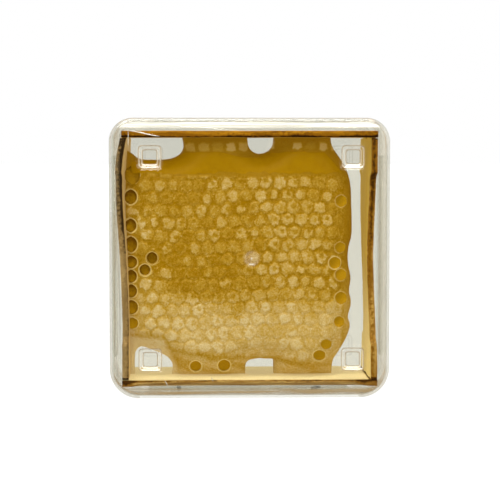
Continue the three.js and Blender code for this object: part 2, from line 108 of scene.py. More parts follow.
def quads(rows, columns, wrap_rows=False, wrap_columns=False):
    """Faces of a grid: a point, the next in its row, and the same two one row on."""
    r, c = np.meshgrid(np.arange(rows - (not wrap_rows)),
                       np.arange(columns - (not wrap_columns)), indexing="ij")
    r2, c2 = (r + 1) % rows, (c + 1) % columns
    corners = [r * columns + c, r * columns + c2, r2 * columns + c2, r2 * columns + c]
    return np.stack(corners, -1).reshape(-1, 4)


def patch(x, y, z, wrap_rows=False, wrap_columns=False, **attributes):
    """A grid patch from three arrays of one shape, given as millimetres in the room."""
    x, y, z = np.broadcast_arrays(x, y, z)
    points = np.stack([x, y, z], -1).reshape(-1, 3).astype(float)
    values = {name: np.broadcast_to(value, x.shape).reshape(-1).astype(float)
              for name, value in attributes.items()}
    return points, quads(*x.shape, wrap_rows, wrap_columns), values


def weld(patches):
    """One set of points and faces: points that agree to a micrometre become one, and a
    face that loses a corner that way becomes a triangle."""
    starts = np.cumsum([0] + [len(points) for points, _, _ in patches])
    points = np.concatenate([p for p, _, _ in patches])
    faces = np.concatenate([f + start for (_, f, _), start in zip(patches, starts)])
    names = sorted({name for _, _, values in patches for name in values})
    values = {name: np.concatenate([v.get(name, np.zeros(len(p))) for p, _, v in patches])
              for name in names}
    _, first, same = np.unique(np.round(points * TOLD_APART).astype(np.int64), axis=0,
                               return_index=True, return_inverse=True)
    faces = same.reshape(-1)[faces]
    points, values = points[first], {name: v[first] for name, v in values.items()}
    equal = np.stack([faces[:, k] == faces[:, (k + 1) % 4] for k in range(4)], -1)
    across = (faces[:, 0] == faces[:, 2]) | (faces[:, 1] == faces[:, 3])
    lost = equal.sum(1)
    whole = faces[(lost == 0) & ~across]
    cut, where = faces[(lost == 1) & ~across], equal[(lost == 1) & ~across].argmax(1)
    keep = (where[:, None] + np.array([1, 2, 3])) % 4
    return points, whole.tolist() + np.take_along_axis(cut, keep, 1).tolist(), values


print("faces between 3 by 4 points:", len(quads(3, 4)), "and closed round:", len(quads(3, 4, True)))

# %% The mesh and its object
def make_piece(name, patches, finish, replaces=None, close=False):
    """A smooth-shaded object at the origin, its place in its mesh, faces outward, riding
    on the one body. With close, openings left in the mesh are filled."""
    points, faces, values = weld(patches)
    mesh = bpy.data.meshes.new(name)
    mesh.from_pydata((points * MM).tolist(), [], faces)
    for key, numbers in values.items():
        layer = mesh.attributes.new(key, "FLOAT", "POINT")
        layer.data.foreach_set("value", numbers.astype(np.float32))
    skin = bmesh.new()
    skin.from_mesh(mesh)
    if close:
        bmesh.ops.holes_fill(skin, edges=[e for e in skin.edges if e.is_boundary])
    bmesh.ops.recalc_face_normals(skin, faces=skin.faces)
    skin.to_mesh(mesh)
    open_edges = sum(e.is_boundary for e in skin.edges)
    skin.free()
    mesh.polygons.foreach_set("use_smooth", [True] * len(mesh.polygons))
    mesh.materials.append(finish)
    thing = bpy.data.objects.new(name, mesh)
    bpy.context.scene.collection.objects.link(thing)
    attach(thing, "root")
    if replaces:
        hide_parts(replaces)
    triangles = sum(len(p.vertices) - 2 for p in mesh.polygons)
    print(f"{name}: {triangles} triangles, {open_edges} open edges")


# %% [markdown]
# ## Small shapes in numbers
#
# Three helpers come back everywhere. A smooth step eases between two levels without a
# kink. Value noise gives each corner of a lattice a repeatable number and eases between
# the corners, which is enough for worn edges and uneven wax. A block is the skin of a
# lattice box whose edges are eased over by a small radius.

# %% Steps and noise
def step(low, high, value):
    """0 below low, 1 above high, and 3t squared minus 2t cubed between."""
    t = np.clip((value - low) / (high - low), 0, 1)
    return t * t * (3 - 2 * t)


def chance(angle):
    """A repeatable number in 0..1 that looks like chance: the fraction of a large sine."""
    raw = np.sin(angle) * 43758.5453
    return raw - np.floor(raw)


def noise(u, v, size, seed):
    """Value noise in 0..1 over the plane, with bumps about size across."""
    u, v = np.asarray(u, float) / size, np.asarray(v, float) / size
    i, j = np.floor(u), np.floor(v)
    s, t = step(0, 1, u - i), step(0, 1, v - j)

    def corner(a, b):
        return chance(a * 127.1 + b * 311.7 + seed * 74.7)

    near = corner(i, j) * (1 - s) + corner(i + 1, j) * s
    far = corner(i, j + 1) * (1 - s) + corner(i + 1, j + 1) * s
    return near * (1 - t) + far * t


def layers(u, v, size, seed):
    """Three layers of noise, each half as large and half as strong as the last."""
    return sum(noise(u, v, size / 2 ** k, seed + k) * 0.5 ** k for k in range(3)) / 1.75


print("step", step(0, 1, np.array([0.25, 0.5])), "noise", np.round(noise(1.3, 2.2, 1, 3), 3))

# %% An eased block
def lines(low, high, pitch, edge):
    """Positions of lattice lines: even between, closer within an edge radius of each end."""
    inner = np.linspace(low + edge, high - edge, max(int((high - low) / pitch), 1) + 1)
    return np.concatenate([[low, low + edge * 0.3], inner, [high - edge * 0.3, high]])


def block(runs, edge):
    """The six sides of a lattice box, from its lines along x, y and z: each point is pulled
    back to the shrunken box and out again by the edge radius, which rounds every edge."""
    low = np.array([run[0] for run in runs]) + edge
    high = np.array([run[-1] for run in runs]) - edge
    grids = []
    for axis in (2, 0, 1):
        flat = list(np.meshgrid(*(runs[k] for k in range(3) if k != axis), indexing="ij"))
        for end in (runs[axis][0], runs[axis][-1]):
            grid = flat[:axis] + [np.full(flat[0].shape, end)] + flat[axis:]
            grid = np.stack(grid, -1)
            core = np.clip(grid, low, high)
            out = grid - core
            size = np.linalg.norm(out, axis=-1, keepdims=True)
            grids.append(core + out * edge / np.maximum(size, 1e-9))
    return grids


print("points on a block:", sum(side[..., 0].size for side in block([lines(0, 9, 1, 0.2)] * 3, 0.2)))

# %% [markdown]
# ## Shader sums
#
# A finish is easier to read as arithmetic than as a web of nodes. The class Sum wraps a
# socket, and each operator on it adds one Math node. The class Finish holds the nodes of
# a material and has one method for every other node: its type, its settings, then its
# sockets. Colours go through Mix nodes, since a Math node would turn them grey.

# %% Sums of sockets
class Sum:
    """A number socket that takes part in Python expressions."""

    def __init__(self, finish, socket):
        self.finish, self.socket = finish, socket

    def _math(self, operation, *values):
        return self.finish.node("Math", {"operation": operation},
                                dict(enumerate(values)), "Value")

    def __add__(self, other):
        return self._math("ADD", self, other)

    def __sub__(self, other):
        return self._math("SUBTRACT", self, other)

    def __rsub__(self, other):
        return self._math("SUBTRACT", other, self)

    def __mul__(self, other):
        return self._math("MULTIPLY", self, other)

    def __pow__(self, other):
        return self._math("POWER", self, other)

    def between(self, low, high):
        """0 at low and below, 1 at high and above, eased."""
        return self.finish.node("MapRange", {"interpolation_type": "SMOOTHSTEP"},
                                {"Value": self, "From Min": low, "From Max": high}, "Result")

    __radd__, __rmul__ = __add__, __mul__


signs = ("add__", "sub__", "mul__", "pow__")
print("signs of a Sum:", [name for name in vars(Sum) if name.endswith(signs)])

# %% Nodes of a finish
INSIDE = 0.6   # colours are mixed this much deeper, because the glow below adds to them
# GLOW is a painted glow: emission that stands in for light soaking through thin wood, wax and honey
GLOW = 0.9     # light that soaks through thin wood, wax and honey, as a share of their colour


class Finish:
    """The nodes of one material, or of the world, being mixed."""

    def __init__(self, owner):
        owner.use_nodes = True
        self.owner, self.tree = owner, owner.node_tree
        self.tree.nodes.clear()

    def node(self, kind, settings=None, sockets=None, output=0):
        """Adds a node, sets its settings first and then its sockets, by name or number."""
        made = self.tree.nodes.new("ShaderNode" + kind)
        for key, value in (settings or {}).items():
            setattr(made, key, value)
        for key, value in (sockets or {}).items():
            if isinstance(value, Sum):
                self.tree.links.new(value.socket, made.inputs[key])
            else:
                made.inputs[key].default_value = value
        return Sum(self, made.outputs[output])

    def number(self, attribute):
        return self.node("Attribute", {"attribute_name": attribute}, output="Fac")

    def mix(self, share, one, two):
        """The colour one where share is 0, and two where it is 1."""
        return self.node("Mix", {"data_type": "RGBA"}, {0: share, 6: one, 7: two}, 2)

    def place(self, scale=(1, 1, 1)):
        """The piece's own coordinates, stretched by scale."""
        raw = self.node("TexCoord", output="Object")
        return self.node("Mapping", None, {"Vector": raw, "Scale": scale})

    def speckle(self, where, scale, detail=3.0, roughness=0.55):
        return self.node("TexNoise", None, {"Vector": where, "Scale": scale, "Detail": detail,
                                            "Roughness": roughness}, "Fac")

    def bump(self, height, strength, depth_mm):
        return self.node("Bump", None, {"Height": height, "Strength": strength,
                                        "Distance": depth_mm * MM})

    def done(self, shader, end="OutputMaterial"):
        """Wires the shader to the tree's end, and gives back what owns the tree."""
        out = self.tree.nodes.new("ShaderNode" + end)
        self.tree.links.new(shader.socket, out.inputs["Surface"])
        return self.owner

    def glowing(self, colour, light, roughness, gloss, **more):
        """Wood, wax or honey: one principled shader that also gives off a little light, a painted
        glow.
        """
        return self.done(self.node("BsdfPrincipled", None, {
            "Base Color": colour, "Emission Color": light, "Emission Strength": GLOW,
            "Roughness": roughness, "Specular IOR Level": gloss, **more}))


def paint(red, green, blue, strength=1.0):
    """A colour picked on a screen, 0..255, as the linear light that a shader mixes."""
    raw = np.array([red, green, blue]) / 255
    linear = np.where(raw <= 0.04045, raw / 12.92, ((raw + 0.055) / 1.055) ** 2.4)
    return tuple(float(v) for v in np.minimum(linear * strength, 0.95)) + (1.0,)


print("amber", np.round(paint(160, 117, 4), 3))

# %% [markdown]
# ## Clear plastic
#
# Thin clear packaging is nearly invisible head on and turns into a mirror where the eye
# grazes it, so the finish mixes two shaders by how edge-on the surface is: a Transparent
# one with a faint warm tint, and a polished one. Real glass shading would bend the light
# and fill the box with noise; this way the box stays clear at any sample count. A slow
# waviness in the normal breaks up reflections as drawn plastic sheet does.

# %% Clear plastic finish
WAVE = 0.25   # how high the sheet's slow waves stand


def clear_plastic(name, see, crease):
    """Mirror share: 4 per cent head on, rising with the fifth power toward the edge. The rest lets
    light through, except where a painted veil covers it: painted shade as dark lines along the bends
    of the pressings and as a dark veil where the sheet is seen edge on, painted highlights, and
    painted streaks of light and shade over the margins. The veil also glows a little. Where the
    faint attribute is set, all of it turns into plain air."""
    f = Finish(bpy.data.materials.new(name))
    edge_on = f.node("LayerWeight", None, {"Blend": 0.5}, "Facing")
    wave = f.bump(f.speckle(f.place(), 60, 1.0), 1.0, WAVE)
    lying, upright = (f.speckle(f.place(stretch), 3, 3.0, 0.6).between(0.4, 0.62)
                      for stretch in ((8, 1, 260), (260, 1, 8)))
    clear = f.node("BsdfTransparent", None, {"Color": see})
    air = f.node("BsdfTransparent", None, {"Color": (1, 1, 1, 1)})
    # painted highlight and painted light: the glint lines and the top margin are veiled pale
    bright = f.number("above") * (0.3 + 0.7 * lying) * 0.6 + f.number("glint")
    # painted shade: the bottom margin and the streaks over the left margin are veiled dark
    painted_dark_veil = f.number("below") * (0.25 + 0.7 * lying) + f.number("beside") * upright * 0.35
    # the veil's colour: dark beige for painted shade, near white for painted light, with a little
    # painted glow
    skin = f.mix(f.number("above") + f.number("glint"), paint(128, 108, 72), paint(252, 249, 236))
    skin = f.node("BsdfPrincipled", None, {"Base Color": skin, "Roughness": 0.35,
                                           "Emission Color": skin, "Emission Strength": 0.25})
    mirror = f.node("BsdfPrincipled", None, {"Base Color": (0.96, 0.96, 0.93, 1), "Metallic": 1.0,
                                             "Roughness": 0.05, "Normal": wave})
    # how much painted veil covers the clear sheet, with a dark veil where it is seen edge on
    veil = f.number("crease") * crease + 0.12 * edge_on ** 4 + bright + painted_dark_veil
    veiled = f.node("MixShader", None, {0: veil, 1: clear, 2: skin})
    sheet = f.node("MixShader", None, {0: 0.04 + 0.85 * edge_on ** 5, 1: veiled, 2: mirror})
    return f.done(f.node("MixShader", None, {0: f.number("faint"), 1: sheet, 2: air}))


lid_finish = clear_plastic("clear_lid", (0.93, 0.925, 0.89, 1), 0.9)
base_finish = clear_plastic("clear_base", (0.9, 0.9, 0.87, 1), 0.15)
print("nodes in the lid's finish:", len(lid_finish.node_tree.nodes))

# %% [markdown]
# ## The box
#
# Lid and base are drawn trays of thin sheet: a flat face, a small rounding, straight side
# walls. The lid's face has four square pockets pressed in, where the feet of the next box
# stand, and a small gate mark in the middle. A tray could be modelled by hand and given
# thickness by Solidify, but a grid whose lines crowd together at the pockets gives crisp
# pressings with few faces. The rim of that grid is then carried along a profile for the
# rounding and the walls, once outside and once inside.

# %% Sizes of the box
HALF, HALF_DEEP, _ = middle_and_half("lid", "base")[1]
FOOT_ROOT, FOOT_TIP, FOOT_HIGH = 4.2, 3.2, 1.1
FRONT, BACK = -HALF_DEEP, round(HALF_DEEP - FOOT_HIGH, 2)
SEAM, CLEAR = 3.0, 0.3                  # where the base's walls end, and the lid's short of them
ROUND, FACE, WALL = 2.0, 1.5, 1.0       # outer rounding, and thickness of the face and walls
BEND = 0.8                              # how deep the inner rounding reaches
LIP = [(0.25, 0.0), (0.05, 0.12), (0.0, 0.3)]   # a wall's rounded end: back from it, and inset
CORNER_TOP, CORNER_BOTTOM = 10.0, 12.4
MARGIN = (54, 55.5)                     # from here out the face lies over the side walls
STUD, STUD_SHIFT = 42.6, 0.7            # how far out the pressings stand, and their shift
POCKET_OPEN, POCKET_FLOOR, POCKET_DEEP, POCKET_SKIN = 4.7, 3.05, 1.3, 1.1
print("box:", 2 * HALF, "wide, from", FRONT, "to", HALF_DEEP, "deep")

# %% A square loop that bends into arcs at its corners
def rounded(u, v, half, soften=1.0):
    """A point (u, v) of the unit square's edge carried to a square of half size `half`.
    Within a corner radius of a corner the two runs bend into one arc: the share of the
    way into the corner on each side becomes the angle of the arc."""
    x, z = u * half, v * half
    radius = np.where(v > 0, CORNER_TOP, CORNER_BOTTOM) - (HALF - half)
    radius = np.maximum(radius * soften, 1e-3)
    core = half - radius
    a = np.clip((np.abs(x) - core) / radius, 0, 1)
    b = np.clip((np.abs(z) - core) / radius, 0, 1)
    angle = np.radians(45) * (1 + b - a)
    bent = (np.abs(x) > core) & (np.abs(z) > core)
    return (np.where(bent, np.sign(x) * (core + radius * np.cos(angle)), x),
            np.where(bent, np.sign(z) * (core + radius * np.sin(angle)), z))


print("a corner's middle:", [round(float(at), 2) for at in rounded(1.0, 1.0, HALF)])

# %% The lattice of a face, fine over the slopes of a pressing and over the gate mark
FINE, MARK_FINE = 0.2, 0.34
near_stud = np.concatenate([np.arange(-5.7, -1.9, FINE), np.linspace(-1.4, 1.4, 4),
                            np.arange(1.9, 5.8, FINE)])
half_lines = np.concatenate([np.arange(0.3, 4.9, MARK_FINE), np.linspace(6.0, 35.5, 9),
                             STUD + near_stud, np.linspace(49.6, HALF - ROUND, 9)])
face_lines = np.concatenate([-half_lines[::-1], [0.0], half_lines])
face_x, face_z = np.meshgrid(face_lines, face_lines, indexing="ij")
print("lines across a face:", len(face_lines))


def face_grid():
    """The face's lattice, square in the middle, its outer rings bent round the corners."""
    reach = np.maximum(np.abs(face_x), np.abs(face_z)).clip(1e-6)
    soften = step(49.2, HALF - ROUND, reach)
    return rounded(face_x / reach, face_z / reach, reach, soften)


def from_stud(x, z):
    """Distance from the middle of the nearest of the four square pressings, by the
    seventh-power rule, whose circles are squares with rounded corners."""
    dx = np.abs(np.abs(x - STUD_SHIFT) - STUD)
    dz = np.abs(np.abs(z) - STUD)
    return (dx ** 7 + dz ** 7) ** (1 / 7)


def pressed(x, z, deep, wide, narrow):
    """How far the sheet is pressed in: deep on each floor, nothing outside the pressings,
    with a straight slope between."""
    return deep * np.clip((wide - from_stud(x, z)) / (wide - narrow), 0, 1)


# %% Walls from the lattice's rim
def rim_loop():
    """The lattice's rim as one closed loop of points of the unit square."""
    t = face_lines / (HALF - ROUND)
    one = np.ones(len(t) - 1)
    u = np.concatenate([t[:-1], one, t[:0:-1], -one])
    v = np.concatenate([-one, t[:-1], one, t[:0:-1]])
    return u, v


def walls(profile):
    """The rim carried along a profile of (y, inset from the outer wall)."""
    u, v = rim_loop()
    depth, inset = np.array(profile).T[:, :, None]
    x, z = rounded(u[None] + 0 * depth, v[None] + 0 * depth, HALF - inset)
    return patch(x, depth + 0 * x, z + HALF, wrap_columns=True)


def tray_profile(face_y, inward, end):
    """Over the outer rounding, along the outer wall, round its end and back up inside."""
    turn = np.radians(np.linspace(0, 90, 7))
    outside = [(face_y + inward * ROUND * (1 - math.cos(a)), ROUND * (1 - math.sin(a)))
               for a in turn]
    lip = [(end - inward * back, inset) for back, inset in LIP]
    lip += [(end - inward * back, WALL - inset) for back, inset in LIP[::-1]]
    inside = [(face_y + inward * (FACE + BEND * (1 - math.sin(a))),
               WALL + (ROUND - WALL) * (1 - math.cos(a))) for a in turn[:-1]]
    waist = face_y + inward * 10
    profile = outside + [(waist, 0)] + lip + [(waist, WALL)] + inside
    return profile + [(face_y + inward * FACE, ROUND)]


print("points round a wall's section:", len(tray_profile(FRONT, 1, SEAM)))

# %% Gate mark, and a whole tray
def gate_mark(x, z):
    """A shallow round dish with a small nub standing in it."""
    r = np.hypot(x - STUD_SHIFT, z)
    return 0.3 * step(3.4, 2.0, r) - 0.2 * step(0.8, 0.3, r)


def gate_light(x, z):
    """The light on the gate mark: a faint disc, a dot in its middle and a bar below that."""
    r = np.hypot(x - STUD_SHIFT, z)
    bar_at = ((x - STUD_SHIFT) / 1.3) ** 4 + ((z + 2.4) / 0.4) ** 2
    return 0.2 * step(4.2, 2.6, r) + 0.3 * np.exp(-(r / 0.5) ** 2) + 0.35 * np.exp(-bar_at)


def tray(face_y, inward, end, outside, inside):
    """A closed tray: outer face, rounding, outer wall, lip, inner wall, inner face. outside and
    inside say how deep, wide and narrow its pressings are on the two faces. Its bends get painted
    shade as dark lines, and the margins over the side walls get painted streaks of light and shade.
    The lid alone has the gate mark with the painted light on it, a painted highlight as a pale line
    close inside each dark one, and a painted pale veil over its right margin."""
    x, z = face_grid()
    is_lid = inward > 0
    q = from_stud(x, z)
    _, wide, narrow = outside
    # painted shade along each bend of a pressing, and a painted highlight line just inside it
    bends, glints = (sum(np.exp(-((q - at) / 0.2) ** 2) for at in places)
                     for places in ((wide, narrow), (wide - 0.42, narrow + 0.42)))
    high, side = step(*MARGIN, np.abs(z)), step(*MARGIN, np.abs(x))
    # painted highlights: the lines inside the bends, the light on the gate mark and a pale veil over
    # the right margin
    glints = (0.45 * glints + gate_light(x, z) + 0.3 * side * (1 - high) * (x > 0)) * is_lid
    relief = pressed(x, z, *outside) + is_lid * gate_mark(x, z)
    # painted light over the top margin, painted shade over the bottom margin and in streaks over the
    # left margin
    outer = patch(x, face_y + relief, z + HALF, crease=bends, glint=glints,
                  above=high * (z > 0), below=high * (z < 0),
                  beside=side * (1 - high) * (x < 0))
    inner = patch(x, face_y + inward * FACE + pressed(x, z, *inside), z + HALF)
    return [outer, walls(tray_profile(face_y, inward, end)), inner]


print("depth in the middle of the gate mark:", round(float(gate_mark(STUD_SHIFT, 0.0)), 2))

# %% Lid with its pockets and gate mark
lid_patches = tray(FRONT, 1, SEAM - CLEAR, (POCKET_DEEP, POCKET_OPEN, POCKET_FLOOR),
                   (POCKET_DEEP + POCKET_SKIN - FACE, POCKET_OPEN + POCKET_SKIN,
                    POCKET_FLOOR + POCKET_SKIN))
make_piece("clear_lid", lid_patches, lid_finish, "lid")

# %% Fine creases on the lid's face, carrying painted highlights
# from x, z to x, z, and half the width
CREASES = [(-50.9, 53.6, -37.4, 51.2, 0.22), (-50.9, 54.4, -50.7, 46.6, 0.14),
           (-46, 56.4, -15, 54.8, 0.18), (-8, 56.8, 34, 56.2, 0.18), (-30, 55.2, -4, 53.9, 0.14),
           (-36, -51.0, -34.2, -54.2, 0.14), (-16.3, -49.8, -15.4, -51.8, 0.14),
           (20, 55.6, 47, 54.9, 0.14)]
BOW = 0.01   # how far a crease swings to either side, as a share of its length


def crease_lines():
    """Lens-shaped threads of light on the face: each runs between two points, widest in the
    middle, with a cross-section of four points that closes to nothing at both ends."""
    patches = []
    u = np.linspace(0, 1, 25)[:, None]
    around = np.radians([0, 90, 180, 270])
    for x0, z0, x1, z1, half in CREASES:
        size = half * np.sin(np.pi * u) ** 0.7
        long = math.hypot(x1 - x0, z1 - z0)
        side = size * np.cos(around) + BOW * long * np.sin(2 * np.pi * u)
        # painted highlight: each thread's glint veils it pale
        patches.append(patch(x0 + (x1 - x0) * u - (z1 - z0) / long * side,
                             FRONT - 0.01 + 0.04 * np.sin(around) * np.sin(np.pi * u),
                             z0 + (z1 - z0) * u + (x1 - x0) / long * side + HALF,
                             wrap_columns=True, glint=0.5))
    return patches


make_piece("lid_creases", crease_lines(), lid_finish)

# %% [markdown]
# The base is the same kind of tray the other way round, with feet instead of pockets. A
# neck on its four sides slides into the lid, and short ribs keep the wood off the walls.
# The neck is left out at the corners, where the square section needs the room.

# %% Base with its feet, neck and ribs
NECK_END, NECK_FRONT = 43.0, -12.0
RIB_AT, RIB_HALF = 30.0, 0.8
RIB_REACH = ((0, 4.2), (2, 5.1))   # the bottom wall and the top wall, and how far in a rib goes


def bar(profile, low, high, turn, faint):
    """A prism: a closed profile of (y, inset) carried from low to high beside one of the
    four side walls, its ends closed by drawing the profile in to its middle."""
    profile = np.array(profile)
    rings = [(low, 0.0), (low, 1.0), (high, 1.0), (high, 0.0)]
    middle = profile.mean(0)
    y = np.array([middle[0] + (profile[:, 0] - middle[0]) * s for _, s in rings])
    away = np.array([HALF - middle[1] - (profile[:, 1] - middle[1]) * s for _, s in rings])
    run = np.array([np.full(len(profile), at) for at, _ in rings])
    c, s = [(0, -1), (1, 0), (0, 1), (-1, 0)][turn]
    return patch(c * away - s * run, y, s * away + c * run + HALF, wrap_columns=True, faint=faint)


base_patches = tray(BACK, -1, SEAM, (FOOT_HIGH, FOOT_ROOT + 0.3, FOOT_TIP),
                    (FOOT_HIGH + 0.3, FOOT_ROOT - 0.9, FOOT_TIP - 1.2))
neck_profile = [(NECK_FRONT, 1.4), (NECK_FRONT, 2.3), (4.4, 2.4), (5.7, 0.95), (3.1, 0.95),
                (2.9, 1.3)]
for turn in range(4):
    base_patches.append(bar(neck_profile, -NECK_END, NECK_END, turn, 0.3))
for turn, top in RIB_REACH:
    for at in (-RIB_AT, RIB_AT):
        rib = [(NECK_FRONT, 2.2), (NECK_FRONT, top), (BACK - FACE - 0.1, top),
               (BACK - FACE - 0.1, 0.95), (5.7, 0.95), (4.4, 2.3)]
        base_patches.append(bar(rib, at - RIB_HALF, at + RIB_HALF, turn, 0.93))
make_piece("clear_base", base_patches, base_finish, "base")

# %% [markdown]
# ## Wood
#
# The section is four thin strips of basswood with finger joints at the corners. Each
# strip starts as the skin of a lattice box: s runs along it, y through its depth and t
# out from its inner face. Points in the short lanes are held back at their ends, which
# cuts the slots. After that come the saw's roughness, the bee space scooped from the
# middle of the uprights, and the warp that damp and honey have put in them.

# %% Wood finish
def wood(name, along, pale, brown, dark, low, high):
    """Basswood: fine fibres stretched along the strip, brown and nearly black stains where the stain
    attribute is high. The inner face is wood wet through with honey, of the colour low or high as
    its stain says; its pale colours are partly painted light, and it gives off a painted glow that
    stands in for the light coming through it."""
    f = Finish(bpy.data.materials.new(name))
    stretch = (5, 60, 60) if along == "x" else (60, 60, 5)
    fibre = f.speckle(f.place(stretch), 9, 4.0, 0.6)
    coarse = f.speckle(f.place(tuple(s * 0.35 for s in stretch)), 9, 2.0)
    fleck = f.speckle(f.place(), 900, 2.0)
    stain = f.number("stain")
    worn = stain + (coarse - 0.5) * 1.0 + (fleck - 0.5) * 0.9
    plain = f.mix((fibre + coarse * 0.4).between(0.5, 0.9), brown, pale)
    sawn = f.mix(worn.between(0.3, 0.6), plain, brown)
    sawn = f.mix(worn.between(0.6, 0.9), sawn, dark)
    # the inner face's colour: partly wood wet with honey, partly painted light
    soaked_and_lit = f.mix(stain + (fibre - 0.5) * 0.8 + (coarse - 0.5) * 0.6, low, high)
    colour = f.mix(f.number("inner"), sawn, soaked_and_lit)
    # painted glow, on the inner face only
    light = f.mix(f.number("inner"), (0, 0, 0, 1), soaked_and_lit)
    bump = f.bump(fibre + fleck * 0.5, 0.4, 0.3)
    return f.glowing(colour, light, 0.55 + fibre * 0.25, 0.05, Normal=bump)


# %% Sizes of the section, and its warp
WOOD_AT, (SIDE, DEPTH, _) = middle_and_half("section_top", "section_bottom")
STRIP = 2.8                   # thickness of a strip
INNER = SIDE - STRIP
SLOT, PLAY = 0.15, 0.3        # half a joint's slot, and the play at the uprights' short ends
EASE = 0.22                   # radius of the edges
LANES = np.linspace(-DEPTH, DEPTH, 6)
LEFT_BULGE, LEFT_GONE = 3.1, 0.85     # at the front edge, and the share lost toward the back
RIGHT_DENT, RIGHT_WAVE = 1.5, 0.75    # at the front edge, and at the back
SCOOP_DEEP, SCOOP_END, SCOOP_RUN = 5.5, 36, 4


def left_bow(z, share):
    """How far the left strip bulges outward: a sine over its height whose top the power
    moves to the upper third. share is 0 at the front edge and 1 at the back, where most
    of the bow is gone."""
    along = np.clip((z + SIDE) / (2 * SIDE), 0, 1)
    bulge = np.maximum(np.sin(np.pi * along ** 2.8) - 0.05, 0)
    return LEFT_BULGE * bulge * (1 - LEFT_GONE * share)


def right_bow(z, share):
    """How far the right strip leans inward: a bell over its height at the front edge,
    turning into one whole wave of a sine at the back."""
    along = np.clip((z + SIDE) / (2 * SIDE), 0, 1)
    dent = RIGHT_DENT * np.exp(-((z + 1) / 24) ** 2)
    return dent * (1 - share) - RIGHT_WAVE * np.sin(2 * np.pi * along) * share


def scoop(z):
    """Depth of the bee space cut from the edges of an upright, a circular run-in."""
    t = np.clip((SCOOP_END - np.abs(z)) / SCOOP_RUN, 0, 1)
    return SCOOP_DEEP * np.sqrt(1 - (1 - t) ** 2)


widest = left_bow(np.linspace(-SIDE, SIDE, 99), 0).max()
print("bow of the left strip at its widest:", round(float(widest), 2))

# %% One strip, before stains and warp
def strip(across, seed):
    """The six sides of one strip as (s, y, t) arrays, with its finger ends, and four
    numbers per point: on the front face, on the inner face, and the lattice's own y and t."""
    long_end, short_end = SIDE, INNER if across else INNER - PLAY
    cuts = np.concatenate([LANES[1:-1] - SLOT, LANES[1:-1] + SLOT])
    depth_lines = np.sort(np.concatenate([lines(-DEPTH, DEPTH, 2.4, EASE), cuts]))
    runs = [lines(-SIDE, SIDE, 0.55, EASE), depth_lines, lines(INNER, SIDE, 0.5, EASE)]
    sides = []
    for grid in block(runs, EASE):
        s, y, t = grid[..., 0], grid[..., 1], grid[..., 2]
        lane = np.clip(np.searchsorted(LANES, y) - 1, 0, 4)
        in_long = (lane % 2 == 0) == across
        off = np.abs(y[..., None] - LANES[1:-1]).min(-1)
        reach = np.where(in_long & (off >= SLOT * 0.99), long_end, short_end)
        front = step(-DEPTH + 0.5, -DEPTH + 0.1, y)
        rim = step(DEPTH - 0.6, DEPTH - 0.05, np.abs(y))
        fuzz = layers(s, t * 2.2, 1.3, seed) - 0.5
        y2 = y + np.sign(y) * rim * (0.22 * fuzz - 0.03)
        wear = rim * (0.28 * noise(s, np.sign(y) * 9, 3.1, seed + 5)
                      + 0.14 * noise(s, np.sign(y) * 9, 0.9, seed + 6))
        middle = (INNER + SIDE) / 2
        t2 = t + (middle - t) * wear * 0.35 + 0.1 * (noise(s, y, 11, seed + 7) - 0.5)
        inner = 1 - step(INNER + 0.05, INNER + 0.3, t)
        sides.append((np.clip(s, -reach, reach), y2, t2, front, inner, y, t))
    return sides


def placed(x, y, z, **numbers):
    """A patch given from the middle of the section."""
    return patch(x + WOOD_AT[0], y + WOOD_AT[1], z + WOOD_AT[2], **numbers)


def make_strip(name, node, across, seed, dress, finish):
    """One strip: dress gives each side's place, its stain and how much it is inner face."""
    patches = []
    for side in strip(across, seed):
        place, stain, inner = dress(*side)
        patches.append(placed(*place, stain=stain, inner=inner))
    make_piece(name, patches, finish, node)


def inner_edge(s, t, low, high, size, ragged, seed):
    """1 along the inner edge, gone from low to high above it, by a border that wanders."""
    return 1 - step(INNER + low, INNER + high, t + ragged * (layers(s, 0, size, seed) - 0.5))


print("points of a strip before welding:", sum(side[0].size for side in strip(True, 11)))

# %% Top strip, dark along its lower edge and at its ends
def top_strip(s, y, t, front, inner, y0, t0):
    """The strip as it is, since it lies with its inner face down."""
    ends = step(38, 52, np.abs(s + 6)) * 0.3 + 0.35 * (layers(s, 0, 13, 6) - 0.5)
    stain = front * (0.24 + 0.65 * inner_edge(s, t0, 0.0, 1.5, 7, 1.1, 3) + ends) + 0.12
    return (s, y, t), stain, inner * (1 - front)


top_wood = wood("basswood_top", "x", paint(182, 128, 24), paint(124, 78, 4), paint(44, 22, 0),
                paint(180, 140, 50, INSIDE), paint(160, 120, 30, INSIDE))
make_strip("strip_top", "section_top", True, 11, top_strip, top_wood)

# %% Bottom strip, thinned between its ends, with a crack at the right
def bottom_strip(s, y, t, front, inner, y0, t0):
    """The strip turned over; its front edge loses half its thickness between the joints."""
    between = step(50.5, 44, np.abs(s)) * step(-DEPTH + 3.5, -DEPTH, y0)
    t = t - (t0 - INNER) * 0.5 * between
    upper = inner_edge(s, t0, 0.3, 1.9, 4, 0.8, 8)
    ends = step(44, 50, np.abs(s + 3))
    crack = step(50.3, 50.7, s) * inner
    stain = front * (0.16 + 0.6 * upper * (0.6 + 0.7 * noise(s, 0, 9, 31)) + 0.5 * ends) + 0.05
    return (s, y, -t), stain + crack, inner * (1 - front) * (1 - crack)


bottom_wood = wood("basswood_bottom", "x", paint(206, 172, 104), paint(136, 94, 34),
                   paint(70, 42, 8), paint(228, 212, 162, 0.66), paint(208, 184, 112, 0.62))
make_strip("strip_bottom", "section_bottom", True, 23, bottom_strip, bottom_wood)

